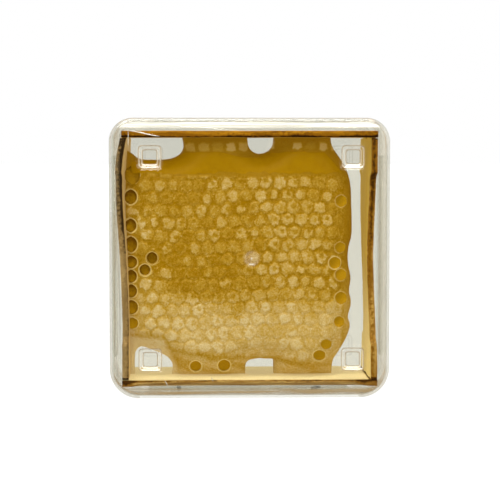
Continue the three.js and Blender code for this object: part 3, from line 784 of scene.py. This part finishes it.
# %% Left strip, bowed out and stained grey over its upper half
def left_strip(s, y, t, front, inner, y0, t0):
    """The strip on end, scooped, its points moved out by the bow."""
    y = y * (1 - scoop(s) / DEPTH)
    share = (y + DEPTH) / (2 * DEPTH)
    uneven = s + 10 * (layers(s, t0 * 3, 8, 4) - 0.5)
    upper, lower = step(0, 24, uneven), step(-14, -30, uneven)
    edge, seam = inner_edge(s, t0, 0.4, 1.5, 5, 0.9, 9), step(50.2, 50.6, np.abs(s))
    stain = np.where(front > 0.5, 0.33 + 0.42 * upper + 0.12 * lower + 0.38 * edge + seam,
                     0.25 + 0.45 * inner)
    return (-t - left_bow(s, share), y, s), stain, inner * (1 - front)


left_wood = wood("basswood_left", "z", paint(176, 150, 102), paint(128, 102, 62),
                 paint(50, 35, 15), paint(224, 206, 156, INSIDE), paint(196, 156, 84, INSIDE))
make_strip("strip_left", "section_left", False, 37, left_strip, left_wood)

# %% Right strip, bowed in, with a dark line down the middle of its front edge
def right_strip(s, y, t, front, inner, y0, t0):
    """The strip on end, scooped, its points moved in by the bow."""
    y = y * (1 - scoop(s) / DEPTH)
    share = (y + DEPTH) / (2 * DEPTH)
    centre = 1 - step(0.2, 1.5, np.abs(t0 - INNER - 1.1 + 1.2 * (layers(s, 0, 9, 2) - 0.5)))
    upper, seam = step(-30, 25, s), step(50.2, 50.6, np.abs(s))
    stain = np.where(front > 0.5, 0.26 + 0.22 * upper + 0.38 * centre * (0.5 + 0.5 * upper) + seam,
                     0.25 + (step(-40, 10, s) - 0.25) * inner)
    return (t - right_bow(s, share), y, s), stain, inner * (1 - front)


right_wood = wood("basswood_right", "z", paint(198, 160, 84), paint(128, 84, 12),
                  paint(66, 38, 2), paint(212, 190, 124, 0.72), paint(190, 156, 56, 0.68))
make_strip("strip_right", "section_right", False, 53, right_strip, right_wood)

# %% [markdown]
# ## The comb's outline
#
# The bees left daylight in places between wax and wood. Those free borders are drawn as
# a few measured points each and rounded by cutting their corners twice, a trick that
# turns any coarse line into a smooth one. The comb is thick in the middle and rounds off
# toward its borders, so its half thickness is a product of one easing per border.

# %% The comb's border
REACH = INNER - 0.05


def smooth_line(points, rounds=2):
    """Cuts each corner of an open line at a quarter and three quarters of its runs."""
    points = np.array(points, float)
    for _ in range(rounds):
        a, b = points[:-1], points[1:]
        cut = np.stack([a * 0.75 + b * 0.25, a * 0.25 + b * 0.75], 1).reshape(-1, 2)
        points = np.concatenate([points[:1], cut, points[-1:]])
    return points


free_borders = [smooth_line(points) for points in (
    # the gap at the lower left
    [(-49.4, -REACH), (-49.5, -45.3), (-49.2, -41.6), (-47.6, -39.2), (-45.8, -38.7),
     (-43.8, -39.4), (-38.4, -41.4), (-35.2, -43.2), (-33.2, -45.4), (-32.7, -48),
     (-33.2, -REACH)],
    # the gap at the bottom, in the middle
    [(-1.4, -REACH), (-1.4, -46.8), (-0.4, -45.1), (1.6, -44.6), (4.8, -44), (7, -44.4),
     (10.4, -44.4), (11, -44.9), (11, -REACH)],
    # all of the right side
    [(36.1, -REACH), (36.3, -45), (38.8, -41.3), (41.4, -36.9), (43.2, -33), (44.1, -29.4),
     (42.7, -26), (44.1, -22), (44.4, -18.6), (43.2, -15.2), (44.4, -9.2), (42.8, -3),
     (43, 4.4), (44.7, 9), (44.4, 20), (44.2, 28.5), (43.6, 33.4), (41.6, 39), (39, 43),
     (36.8, 46), (35.6, 48.6), (35.4, REACH)],
    # the gap at the top, in the middle
    [(11, REACH), (10.8, 47.6), (8.6, 45.1), (5.2, 44), (2, 44.8), (-0.2, 47.2), (-0.5, REACH)],
    # the gap at the upper left
    [(-28.6, REACH), (-28, 48.4), (-28.1, 46.4), (-29.2, 44.4), (-31.4, 42.8), (-34.6, 41.9),
     (-39, 41.6), (-44.4, 41.6), (-47.8, 42.2), (-49.6, 43.8)])]


def left_at(z, share=0.5):
    """The wax meets the left strip, wherever the bow has put its inner face."""
    return -REACH - left_bow(z, share)


left_z = np.linspace(45.6, -REACH, 40)
outline = np.concatenate(free_borders + [np.stack([left_at(left_z), left_z], -1)])
print("points round the comb:", len(outline))

# %% Distance to a border, and the comb's thickness
THICK, THIN = 17.8, 2.2


def nearest(line, x, z):
    """Distance to a line of points, and the nearest point on it, for every x, z."""
    a, run = line[:-1], np.diff(line, axis=0)
    dx, dz = x[:, None] - a[:, 0], z[:, None] - a[:, 1]
    t = np.clip((dx * run[:, 0] + dz * run[:, 1]) / (run ** 2).sum(1).clip(1e-12), 0, 1)
    away = np.hypot(dx - t * run[:, 0], dz - t * run[:, 1])
    best = away.argmin(1)
    row = np.arange(len(x))
    return away[row, best], a[best] + run[best] * t[row, best, None]


def within(x, z):
    """True inside the outline: a ray to the right crosses it an odd number of times."""
    one, two = outline, np.roll(outline, -1, 0)
    rise = two[:, 1] - one[:, 1]
    rise = np.where(rise == 0, 1e-12, rise)
    crosses = (one[:, 1] > z[:, None]) != (two[:, 1] > z[:, None])
    at = one[:, 0] + (two[:, 0] - one[:, 0]) * (z[:, None] - one[:, 1]) / rise
    return ((crosses & (x[:, None] < at)).sum(1) % 2).astype(bool)


def half_thick(x, z):
    """Half the comb's thickness: full inside, eased down to each border's edge value
    over that border's reach along a quarter circle. The left edge thins toward its top."""
    shape = np.shape(x)
    x, z = np.ravel(x), np.ravel(z)
    free = np.min([nearest(line, x, z)[0] for line in free_borders], 0) * within(x, z)
    left_edge = 5.5 - 4.5 * step(20, 34, z)
    left, bottom = (x - left_at(z), left_edge, 11), (z + REACH, 3, 15)
    top, daylight = (REACH - z, 10, 9), (free, 5, 12)
    thick = np.full(x.shape, THICK)
    for distance, edge, reach in (left, bottom, top, daylight):
        t = np.clip(distance / reach, 0, 1)
        thick *= 1 - (1 - edge / THICK) * (1 - np.sqrt(1 - (1 - t) ** 2))
    return np.maximum(thick, THIN).reshape(shape)


print("half thickness in the middle:", half_thick(np.array([0.0]), np.array([0.0])))

# %% [markdown]
# ## Cells
#
# Seen from the front the comb is a field of six-sided cells, each closed by a thin wax
# cap. Rather than model hundreds of caps, the surface is one height field. Every point
# finds its two nearest cell centres; half way between them is a groove, and away from it
# the cap stands up. Centres wander a little, because bees do not rule lines. The same two
# distances also say where a cap is dry and pale and where honey has wetted the wax.

# %% The open cells
# x, z, radius, how deep the honey stands, how far the rim stands up, height / width
OPEN_FRONT = np.array([
    (-49.6, 35.3, 3.4, 3.0, 0.0, 1.2),
    (-50.3, 25.95, 2.75, 5.0, 0.3, 1.2), (-50.35, 13.8, 2.6, 4.6, 0.3, 1.18),
    (-50.3, 5.7, 2.8, 4.6, 0.3, 1.25), (-50.3, -1.85, 2.75, 5.0, 0.3, 1.0),
    (-50.3, -7.9, 2.6, 4.4, 0.3, 1.08), (-50.3, -14.2, 2.6, 4.2, 0.3, 1.1),
    (-50.2, -21.1, 2.9, 3.4, 0.3, 1.05), (-50.0, -27.9, 2.7, 2.4, 0.28, 0.9),
    (-41.4, 0.1, 2.5, 4.4, 0.2, 1.1), (-44.4, -5.0, 2.55, 3.6, 0.26, 1.05),
    (39.0, 24.2, 2.6, 1.0, 0.18, 1.0), (38.6, 4.4, 2.4, 0.7, 0.16, 1.0),
    (36.3, -2.1, 2.7, 1.4, 0.3, 1.0), (38.95, -7.3, 2.6, 0.8, 0.2, 1.0),
    (39.0, -17.3, 2.8, 1.2, 0.2, 1.0), (38.15, -27.4, 2.5, 0.9, 0.18, 1.0),
    (32.6, -36.9, 2.5, 0.6, 0.12, 0.9), (29.8, -41.8, 2.8, 1.4, 0.26, 0.9),
    (-22.9, -46.6, 2.6, 2.0, 0.3, 1.05), (-10.8, -46.3, 2.8, 2.0, 0.3, 1.05)])
OPEN_BACK = np.array([
    (-50.4, 18.0, 2.7, 4.0, 0.3, 1.1), (-50.4, 6.0, 2.7, 4.0, 0.3, 1.1),
    (-50.4, -9.0, 2.7, 4.0, 0.3, 1.0), (39.6, 12.0, 2.6, 2.0, 0.3, 1.0),
    (39.0, -12.4, 2.6, 2.0, 0.3, 1.0), (37.4, -26.0, 2.6, 2.0, 0.3, 1.0),
    (-16.0, -46.6, 2.6, 2.0, 0.3, 1.0), (20.5, -46.4, 2.6, 2.0, 0.3, 1.0)])
print("open cells in front:", len(OPEN_FRONT), "behind:", len(OPEN_BACK))

# %% Cell centres
PITCH, ROW, FIRST_ROW = 5.65, 5.3, -53.3
ROOM = 4.4   # an open cell keeps the others' centres this far from its own


def centres(opened, shift, seed):
    """Rows of cell centres, every other row half a pitch over, bent by slow sines and
    nudged by noise; those that an open cell takes the place of are left out."""
    row = np.arange(21)
    z0 = FIRST_ROW + row * ROW
    x0 = (np.arange(-11, 11)[None] + 0.5 * (row % 2)[:, None] + shift) * PITCH
    z0 = z0[:, None] + 0 * x0
    x = x0 + 0.9 * np.sin(z0 / 17 + 1) + 0.8 * (noise(x0 * 7.3, z0 * 5.1, 1, seed) - 0.5)
    z = z0 + 0.9 * np.sin(x0 / 15 + 0.6) + 0.7 * (noise(x0 * 5.7, z0 * 9.1, 1, seed + 1) - 0.5)
    spots = np.stack([x.ravel(), z.ravel()], -1)
    away = np.hypot(*(spots[:, None] - opened[None, :, :2]).transpose(2, 0, 1)).min(1)
    spots = spots[(away > ROOM) & (spots[:, 0] > -54) & (spots[:, 0] < 50)]
    return np.concatenate([opened[:, :2], spots])


def two_nearest(x, z, spots):
    """For each point its nearest centre's number, the distance to it, and the distance
    to the line half way to the second nearest, in slices that fit in memory."""
    number, near, border = [], [], []
    for part in np.array_split(np.arange(len(x)), max(len(x) // 8000, 1)):
        away = np.hypot(x[part, None] - spots[:, 0], z[part, None] - spots[:, 1])
        rows = np.arange(len(part))
        one = away.argmin(1)
        d1 = away[rows, one]
        away[rows, one] = np.inf
        two = away.argmin(1)
        gap = np.hypot(*(spots[one] - spots[two]).T)
        number.append(one)
        near.append(d1)
        border.append((away[rows, two] ** 2 - d1 ** 2) / (2 * gap))
    return np.concatenate(number), np.concatenate(near), np.concatenate(border)


front_spots = centres(OPEN_FRONT, 0.2, 5)
back_spots = centres(OPEN_BACK, 0.25, 17)
print("cells in front:", len(front_spots), "behind:", len(back_spots))

# %% A lattice cut to the comb's outline
MESH = 0.36   # between two lines of the lattice
ACROSS, UP = (-53.9, 45.6), (-51.3, 51.4)   # where its lines start and end, outside the outline


def lattice():
    """A square lattice over the comb, cut to the outline: the faces that reach inside
    stay, and their corners that fall outside are moved to the nearest border point."""
    x, z = np.meshgrid(np.arange(*ACROSS, MESH), np.arange(*UP, MESH), indexing="ij")
    faces = quads(*x.shape)
    x, z = x.ravel(), z.ravel()
    inside = within(x, z)
    faces = faces[inside[faces].any(1)]
    used = np.unique(faces)
    shown = np.zeros(len(x), int)
    shown[used] = np.arange(len(used))
    x, z, inside = x[used], z[used], inside[used]
    closed = np.concatenate([outline, outline[:1]])
    _, snapped = nearest(closed, x[~inside], z[~inside])
    x[~inside], z[~inside] = snapped[:, 0], snapped[:, 1]
    return x, z, shown[faces]


print("lattice points in the comb:", len(lattice()[0]))

# %% Where the wax is dry, run over, webbed or bare
# fields where most cappings are dry and pale: x, z, radius, how pale
FIELDS = np.array([(18, -1, 18, 0.52), (-12, 31, 11, 0.3), (20, 25, 14, 0.14), (-45, 14, 6, 0.75),
                   (-45, -12, 7, 0.7), (8, 32.5, 13, 0.2), (-40, -26, 12, 0.4)])
# each from its first trace to its full share: z where honey or bare wax covers the cappings
# at the top and the bottom, z of the dry lower third, and x of the webs at the right
RUN_TOP, RUN_LOW, DRY, WEB = (34.3, 35.6), (-40.5, -45.5), (-9, -26), (38.5, 41.5)
CORNER_X, CORNER_Z = -34, -31   # the lower left corner, built without caps


def fogged(x, z, mid):
    """How dry the cappings are: a bell over each field, all but gone near the right side."""
    away = np.hypot(x[:, None] - FIELDS[:, 0], z[:, None] - FIELDS[:, 1]) / FIELDS[:, 2]
    fog = 0.06 + (np.exp(-(away + 0.7 * (mid - 0.5)[:, None]) ** 2) * FIELDS[:, 3]).sum(1)
    return fog * (1 - 0.8 * step(33.5, 37.5, x + 3 * (mid - 0.5)))


def zones(x, z, slow, mid, fine):
    """Shares, 0..1: run over at the top, bare at the bottom, webs at the right strip, the
    lower left corner, and dry cappings. The noises make their borders wander."""
    up = 1.6 * (slow - 0.5) + 1.8 * (fine - 0.5) - 1.2 * step(-30, -38, x)
    dry_at = z + 10 * (slow - 0.5) + 7 * (mid - 0.5) - 0.004 * (x + 4) ** 2 + 3
    under = CORNER_Z - z
    return (step(*RUN_TOP, z + up), step(*RUN_LOW, z + 2.5 * (slow - 0.5) + 0.1 * x),
            step(*WEB, x) * step(38, 30, z),
            step(0, 5, under) * step(0, 6, CORNER_X - x + 0.4 * under), step(*DRY, dry_at))


print("fields of dry cappings:", len(FIELDS))

# %% Dry wax on each cap
def per_cell(cell, seed):
    """A number in 0..1 that is the same all over a cell and unlike its neighbours'."""
    return chance(cell * 12.9898 + seed * 78.233)


def dry_caps(x, z, cell, spots, edge, fog, fine, rag, seed):
    """Share of dry wax, 0..1: one ragged patch in each cell, as wide as luck has it, with
    a hole in some; where honey has got in only a broken ring along the edge is left."""
    luck = [per_cell(cell, seed + k) for k in range(5)]
    low = 0.3 + 0.55 * luck[0]
    patch_of = step(low, low + 0.5, edge) * np.clip(0.2 + 0.8 * luck[1] + fog, 0, 1)
    patch_of *= step(0.0, 0.4, luck[2] + 0.5 * fog) * (0.6 + 0.8 * fine)
    from_hole = np.hypot(x - spots[cell, 0] - 2.4 * (luck[3] - 0.5),
                         z - spots[cell, 1] - 2.4 * (luck[4] - 0.5)) + 1.6 * (fine - 0.5)
    holed = step(0.45, 0.6, luck[3] * luck[4] + 0.35 * (1 - fog))
    patch_of *= 1 - 0.8 * holed * (1 - step(0.5, 1.4, from_hole))
    ring_of = np.exp(-((edge - 0.55) / 0.28) ** 2) * step(0.35, 0.6, noise(x, z, 2.2, seed + 6))
    specks = step(0.64, 0.78, rag) * (1 - step(0.4, 1.0, edge))
    return np.maximum(patch_of, 0.65 * ring_of) + 0.55 * specks


print("luck of the first cells:", np.round(per_cell(np.arange(3), 8), 2))

# %% Height and colour all over the comb
def pits(x, z, opened):
    """Open cells: distance out from the nearest wall, depth of the pit, share of rim."""
    away = np.hypot(x[:, None] - opened[:, 0],
                    (z[:, None] - opened[:, 1]) / opened[:, 5]) - opened[:, 2]
    pit = (1 - step(-0.55, -0.05, away)) * (opened[:, 3] + 1.2)
    rim = step(0.36, 0.0, np.abs(away - 0.08)) * step(0.1, 0.3, opened[:, 4])
    return away.min(1), pit.max(1), rim.max(1)


def surface(x, z, spots, opened, seed):
    """Height of caps above the comb's body, and the numbers that the finish reads."""
    cell, near, border = two_nearest(x + 1.7 * (layers(x, z, 3.0, seed + 20) - 0.5),
                                     z + 1.7 * (layers(x, z, 3.0, seed + 30) - 0.5), spots)
    slow, mid = layers(x, z, 16, seed + 2), layers(x, z, 5.0, seed + 12)
    fine, rag = layers(x, z, 1.5, seed + 3), layers(x, z, 0.8, seed + 9)
    fog = fogged(x, z, mid)
    run_top, run_low, web, corner, dry = zones(x, z, slow, mid, fine)
    capped = 1 - np.maximum.reduce([run_top, run_low, web, corner])
    edge = 0.6 * border + 0.4 * (PITCH / 2 - near) + 0.9 * (fine - 0.5) + 0.7 * (rag - 0.5)
    caps = dry_caps(x, z, cell, spots, edge, fog, fine, rag, seed + 5)
    contrast = 0.78 - 0.24 * dry
    pale = capped * (0.75 * fog + 1.1 * dry * (1 - fog) - 0.1
                     + contrast * (caps - 0.3 * (0.4 + fog) - 0.25 * dry))
    blobs = step(44.8, 45.8, z + 1.2 * (fine - 0.5)) * step(49.6, 48.4, z) * step(
        0.5, 1.2, border + 0.8 * (rag - 0.5)) * step(0.15, 0.4, per_cell(cell, seed))
    diagonal = step(0.35, 0.65, layers(x + 3 * z, x * 0.3 - z, 9, seed + 15))
    corner_pale = corner * (1.3 + 0.2 * step(-44, -49, x))
    pale = np.maximum.reduce([pale, 0.85 * blobs * (1 - web), corner_pale,
                              run_low * (0.48 + 0.36 * diagonal), 0.6 * web * dry])
    height = capped * (0.3 * step(0.0, 1.2, edge) + 0.15 * caps + 0.1 * (rag - 0.5))
    height += 0.12 * (1 - capped) * (slow - 0.3)
    away, pit, rim = pits(x, z, opened)
    height = height * step(0.0, 0.5, away) - pit
    return height, dict(pale=pale, rim=rim, wet=np.maximum(run_top, 0.8 * web * (1 - dry)))


print("depth of the first pit:", pits(*OPEN_FRONT[:1, :2].T, OPEN_FRONT)[1])

# %% The comb's two halves
def comb_half(sign, spots, opened, seed):
    """Front (sign -1) or back half: the height field, walls of three rows from its border
    to the comb's midrib, and a flat fill there."""
    x, z, faces = lattice()
    body = half_thick(x, z)
    height, numbers = surface(x, z, spots, opened, seed)
    y = sign * (body + height)
    share = (y + DEPTH) / (2 * DEPTH)
    toward_wood = 1 - step(0, 6, x - left_at(z))
    x = x + (left_at(z, share) - left_at(z)) * toward_wood
    points = np.stack([x, y, z], -1) + WOOD_AT
    edges = np.concatenate([faces[:, [k, (k + 1) % 4]] for k in range(4)])
    key = np.sort(edges, 1)
    _, first, count = np.unique(key[:, 0] * len(x) + key[:, 1], return_index=True,
                                return_counts=True)
    border = edges[first[count == 1]]
    values = {name: np.repeat(number[border].mean(1), 4) for name, number in numbers.items()}
    values["pale"] = values["pale"] * 0.5
    rows = []
    for level in np.linspace(1, 0, 4):
        row = points[border].copy()
        row[..., 1] = WOOD_AT[1] + (row[..., 1] - WOOD_AT[1]) * level
        rows.append(row)
    patches = [(points, faces, numbers)]
    for near, far in zip(rows[:-1], rows[1:]):
        corners = np.stack([near[:, 0], near[:, 1], far[:, 1], far[:, 0]], 1).reshape(-1, 3)
        patches.append((corners, np.arange(len(corners)).reshape(-1, 4), values))
    return patches


middle_half = half_thick(np.array([0.0]), np.array([0.0]))[0]
print("thickness in the middle, without caps:", 2 * middle_half)

# %% [markdown]
# ## Wax
#
# Capping wax is pale where it is dry and amber where honey has wet it through, and every
# colour between lies on one curve from one to the other. The mesh carries how pale each
# point is. The finish adds two sizes of grain to that number and reads the colour off the
# curve, drawn as four colours with straight mixes between. Object coordinates keep the
# grain fixed to the wax from every side.

# %% Wax finish
def comb_wax(name):
    """The curve's colours lie at pale = -0.15, 0.4, 0.9 and 1.4, so each mix takes a share
    that grows with pale and is held between 0 and 1 by the node itself."""
    f = Finish(bpy.data.materials.new(name))
    where = f.place()
    grain = f.speckle(where, 1300, 2.0, 0.7)
    clumps = f.speckle(where, 480, 3.0, 0.65)
    rough = 1 - 0.75 * f.number("wet").between(0.2, 1.0)
    pale = f.number("pale") + ((clumps - 0.5) * 0.9 + (grain - 0.5) * 1.6) * rough
    colour = f.mix((pale + 0.15) * 1.8, paint(148, 107, 0, INSIDE), paint(174, 137, 44, INSIDE))
    colour = f.mix((pale - 0.4) * 2.0, colour, paint(193, 162, 92, INSIDE))
    colour = f.mix((pale - 0.9) * 2.0, colour, paint(208, 186, 136, INSIDE))
    colour = f.mix(f.number("rim") * 0.72, colour, paint(230, 206, 132, INSIDE))
    bump = f.bump(clumps + grain * 0.4, 0.35, 0.2)
    # painted glow: the wax gives off its own colour, standing in for light through it
    return f.glowing(colour, colour, 0.7 - 0.25 * f.number("wet"), 0.04, Normal=bump)


make_piece("comb_front", comb_half(-1, front_spots, OPEN_FRONT, 3),
           comb_wax("comb_wax_front"), "comb", close=True)
make_piece("comb_back", comb_half(1, back_spots, OPEN_BACK, 41),
           comb_wax("comb_wax_back"), "comb", close=True)

# %% [markdown]
# ## Open cells
#
# Along the left strip, at the right border and at the bottom some cells were never
# capped. Each is a little tube: a rounded wax rim, a thin wall going in, and honey
# standing in it, its surface drawn up at the wall. One closed profile is carried round a
# ring that is nearly a circle with a hint of six sides, for one cell after the other.

# %% Rims and walls
TURNS = 40
CUT_AT = 0.36   # share of the depth at which the left strip's bow cuts a ring off


def rings(cell, radii):
    """Rings round an open cell, one for each radius: a circle with 3 per cent of six sides
    and 2 of an oval, its left side flattened where the wooden strip cuts it off."""
    angle = np.linspace(0, 2 * np.pi, TURNS, endpoint=False)
    flat = 1 + 0.03 * np.cos(6 * (angle - np.pi / 2)) + 0.02 * np.cos(2 * angle)
    r = radii * flat
    x = cell[0] + r * np.cos(angle)
    z = cell[1] + r * np.sin(angle) * cell[5]
    return np.maximum(x, left_at(z, CUT_AT) + 0.1), z


def cell_tubes(sign, opened):
    """The rim profile: up the outside, over the crest, down the wall and back behind it."""
    patches = []
    for cell in opened:
        radius, deep, stand = cell[2:5]
        profile = [(0.2, -0.55), (0.16, -0.05), (0.13, stand * 0.7), (0.09, stand),
                   (0.04, stand), (0.0, stand * 0.6), (-0.04, -0.1), (-0.08, -1.2),
                   (-0.12, -deep - 0.8), (0.1, -deep - 0.8), (0.16, -1.4)]
        out, level = np.array(profile).T[:, :, None]
        x, z = rings(cell, radius + out)
        y = sign * (half_thick(x, z) + level)
        patches.append(placed(x, y, z, wrap_rows=True, wrap_columns=True,
                              rim=step(-0.5, 0.1, level) * step(0.1, 0.3, stand),
                              pale=0.1 + 0.5 * step(-1.0, 0.1, level)))
    return patches


make_piece("cell_rims", cell_tubes(-1, OPEN_FRONT) + cell_tubes(1, OPEN_BACK),
           comb_wax("comb_wax_rims"))

# %% Honey in the open cells
BOWL = np.array([0.0, 0.15, 0.3, 0.45, 0.6, 0.75, 0.88, 1.0])[:, None]   # rings of the surface
DISC = np.array([0.7, 0.0])[:, None]                                    # and of the disc behind it


def cell_honey(sign, opened):
    """A shallow bowl of honey in each cell, closed behind by a flat disc. It is painted darker under
    the rim and in its upper half, as painted shade where the wall shades it."""
    patches = []
    share = np.concatenate([BOWL, DISC])
    for cell in opened:
        radius, deep, _, tall = cell[2:]
        x, z = rings(cell, (radius - 0.06) * share + 1e-4 * (share == 0))
        x[[0, -1]], z[[0, -1]] = x[0].mean(), z[0].mean()
        level = np.concatenate([-deep + 0.45 * BOWL ** 4, -deep - 0.6 + 0 * DISC])
        y = sign * (half_thick(np.full(x.shape, max(cell[0], -46.0)), z) + level)
        # painted shade: darker toward the rim and in the upper half of the cell
        shaded = 0.35 * step(0.5, 1.0, share) + 0.3 * (z - cell[1]) / (radius * tall)
        patches.append(placed(x, y, z, wrap_columns=True,
                              deep=step(0.8, 4.5, deep) * (0.55 + shaded)))
    return patches


def honey(name, light, dark):
    """Two ambers mixed by the deep number and by cloudiness of two sizes, with a faint painted glow.
    In the open cells the deep number is the honey's depth with painted shade added under the rim and
    in the upper half.
    """
    f = Finish(bpy.data.materials.new(name))
    where = f.place()
    cloud = f.speckle(where, 420, 2.0)
    grain = f.speckle(where, 1100, 2.0)
    deep = f.number("deep") * (0.4 + 1.2 * cloud) + (cloud - 0.5) * 0.3 + (grain - 0.5) * 0.5
    colour = f.mix(deep.between(0.0, 1.0), paint(*light, INSIDE), paint(*dark, INSIDE))
    return f.glowing(colour, colour, 0.45, 0.04)


make_piece("cell_honey", cell_honey(-1, OPEN_FRONT) + cell_honey(1, OPEN_BACK),
           honey("honey_in_cells", (172, 130, 14), (104, 68, 2)))

# %% [markdown]
# ## Run honey
#
# A band of honey has run over the cappings under the top strip and lies there smooth and
# dark. It is a thin lens: flat at its back, a little full in the middle, and drawn out to
# nothing at its ragged lower edge, where the caps stand out of it like stones in a pool.

# %% Run honey
def border_of(grid):
    """The points along a grid's four sides as one closed run."""
    return np.concatenate([grid[:-1, 0], grid[-1, :-1], grid[:0:-1, -1], grid[0, :0:-1]])


def run_honey():
    """u goes across and v up. The lower edge wanders by noise, the upper edge dips under
    the daylight gaps, and the fullness is a quarter sine of the distance to the edges."""
    u, v = np.meshgrid(np.linspace(0, 1, 200), np.linspace(0, 1, 34), indexing="ij")
    x0 = -51.5 + 94.5 * u
    low = 35.9 + 1.8 * (layers(x0, 0, 9, 71) - 0.5) + 1.2 * (noise(x0, 0, 2.2, 77) - 0.5)
    dip = 2.0 * np.exp(-(((x0 - 5.5) / 8.0) ** 4)) + 3.6 / (1 + np.exp((x0 + 27) / 1.5))
    high = 45.0 - dip + 0.8 * (noise(x0, 0, 4, 79) - 0.5)
    z = low + (high - low) * v
    right = np.minimum(43.2 - 0.085 * np.maximum(z - 28, 0) ** 1.7, 43) - 0.5
    left = left_at(z) + 0.3
    x = left + (right - left) * u
    fade = np.clip(np.minimum.reduce([u * 30, (1 - u) * 30, v * 2.2, (1 - v) * 4]), 0, 1)
    full = np.sin(fade * np.pi / 2)
    body = half_thick(x, z)
    outer = placed(x, -(body + 0.02 + 0.3 * full), z, deep=0.1 + 0.5 * layers(x, z, 12, 5))
    inner = placed(x, -(body - 0.35 + 0.37 * (1 - np.sign(fade))), z, deep=0.3)
    edge = np.stack([border_of(side[0].reshape(u.shape + (3,))) for side in (outer, inner)])
    band = patch(*edge.transpose(2, 0, 1), wrap_columns=True, deep=0.3)
    return [outer, inner, band]


make_piece("run_honey", run_honey(), honey("honey_run", (166, 124, 6), (148, 107, 0)),
           "honey_film")

# %% [markdown]
# ## Light and floor
#
# A white table, a white surround and three large soft lamps: one high in front on the
# left, a weak one on the right, and a long one above, which puts the bright bars on the
# lower slopes of the pockets. The table gives nearly all of its white by itself, so that
# no shadow greys it and it stays white to the horizon. Behind the camera the surround is
# dark, as if a black cloth hung there: without it the front of the box would fill with a
# pale reflection.

# %% Lamps
def lamp(name, place, target, wide, high, watts, colour=(1, 1, 1)):
    """A rectangle of light at place that faces target; lengths in metres."""
    data = bpy.data.lights.new(name, "AREA")
    data.shape, data.size, data.size_y = "RECTANGLE", wide, high
    data.energy, data.color = watts, colour
    made = bpy.data.objects.new(name, data)
    bpy.context.scene.collection.objects.link(made)
    made.matrix_world = looking(Vector(place), Vector(place) - Vector(target))


box_middle = (0, 0, 0.06)
lamp("key_lamp", (-0.45, -0.75, 0.75), box_middle, 0.5, 0.5, 7.0, (1, 0.985, 0.95))
lamp("fill_lamp", (0.7, -0.6, 0.35), box_middle, 0.5, 0.5, 2.5, (0.97, 0.98, 1))
lamp("top_lamp", (0, -0.24, 0.62), (0, -0.026, 0.06), 0.6, 0.3, 6.0)

# %% The table
TABLE_HALF = 9000
around = [(-1, -1, 0), (1, -1, 0), (1, 1, 0), (-1, 1, 0)]
floor_mesh = bpy.data.meshes.new("table")
floor_mesh.from_pydata((np.array(around) * TABLE_HALF * MM).tolist(), [], [(0, 1, 2, 3)])
table = bpy.data.objects.new("table", floor_mesh)
bpy.context.scene.collection.objects.link(table)
table_finish = Finish(bpy.data.materials.new("white_table"))
floor_mesh.materials.append(table_finish.done(table_finish.node("BsdfPrincipled", None, {
    "Base Color": (0.06, 0.06, 0.06, 1), "Roughness": 0.6, "Specular IOR Level": 0.1,
    "Emission Color": (1, 1, 0.99, 1), "Emission Strength": 0.96})))
table.visible_glossy = False
print("table:", 2 * TABLE_HALF * MM, "metres square")

# %% The surround, with a dark cloth behind the camera
WHITE = (1, 1, 1, 1)
CLOTH = (0.72, 0.9)   # cosine of the angle from the camera's side: at its rim, and all dark
surround = Finish(bpy.data.worlds.new("surround"))
to_cloth = surround.node("VectorMath", {"operation": "DOT_PRODUCT"}, {
    0: surround.node("TexCoord", output="Generated"), 1: tuple(toward)}, "Value")
gives = surround.node("Background", None, {"Color": WHITE,
                                           "Strength": 1 - to_cloth.between(*CLOTH)})
seen = surround.node("Background", None, {"Color": WHITE, "Strength": 1.0})
bpy.context.scene.world = surround.done(surround.node("MixShader", None, {
    0: surround.node("LightPath", output="Is Camera Ray"), 1: gives, 2: seen}), "OutputWorld")
bpy.context.scene.view_settings.view_transform = "Standard"
print("surround:", bpy.context.scene.world.name)

# %% [markdown]
# ## The end
#
# The dressed part has to fill the same box as the solids it stands for.
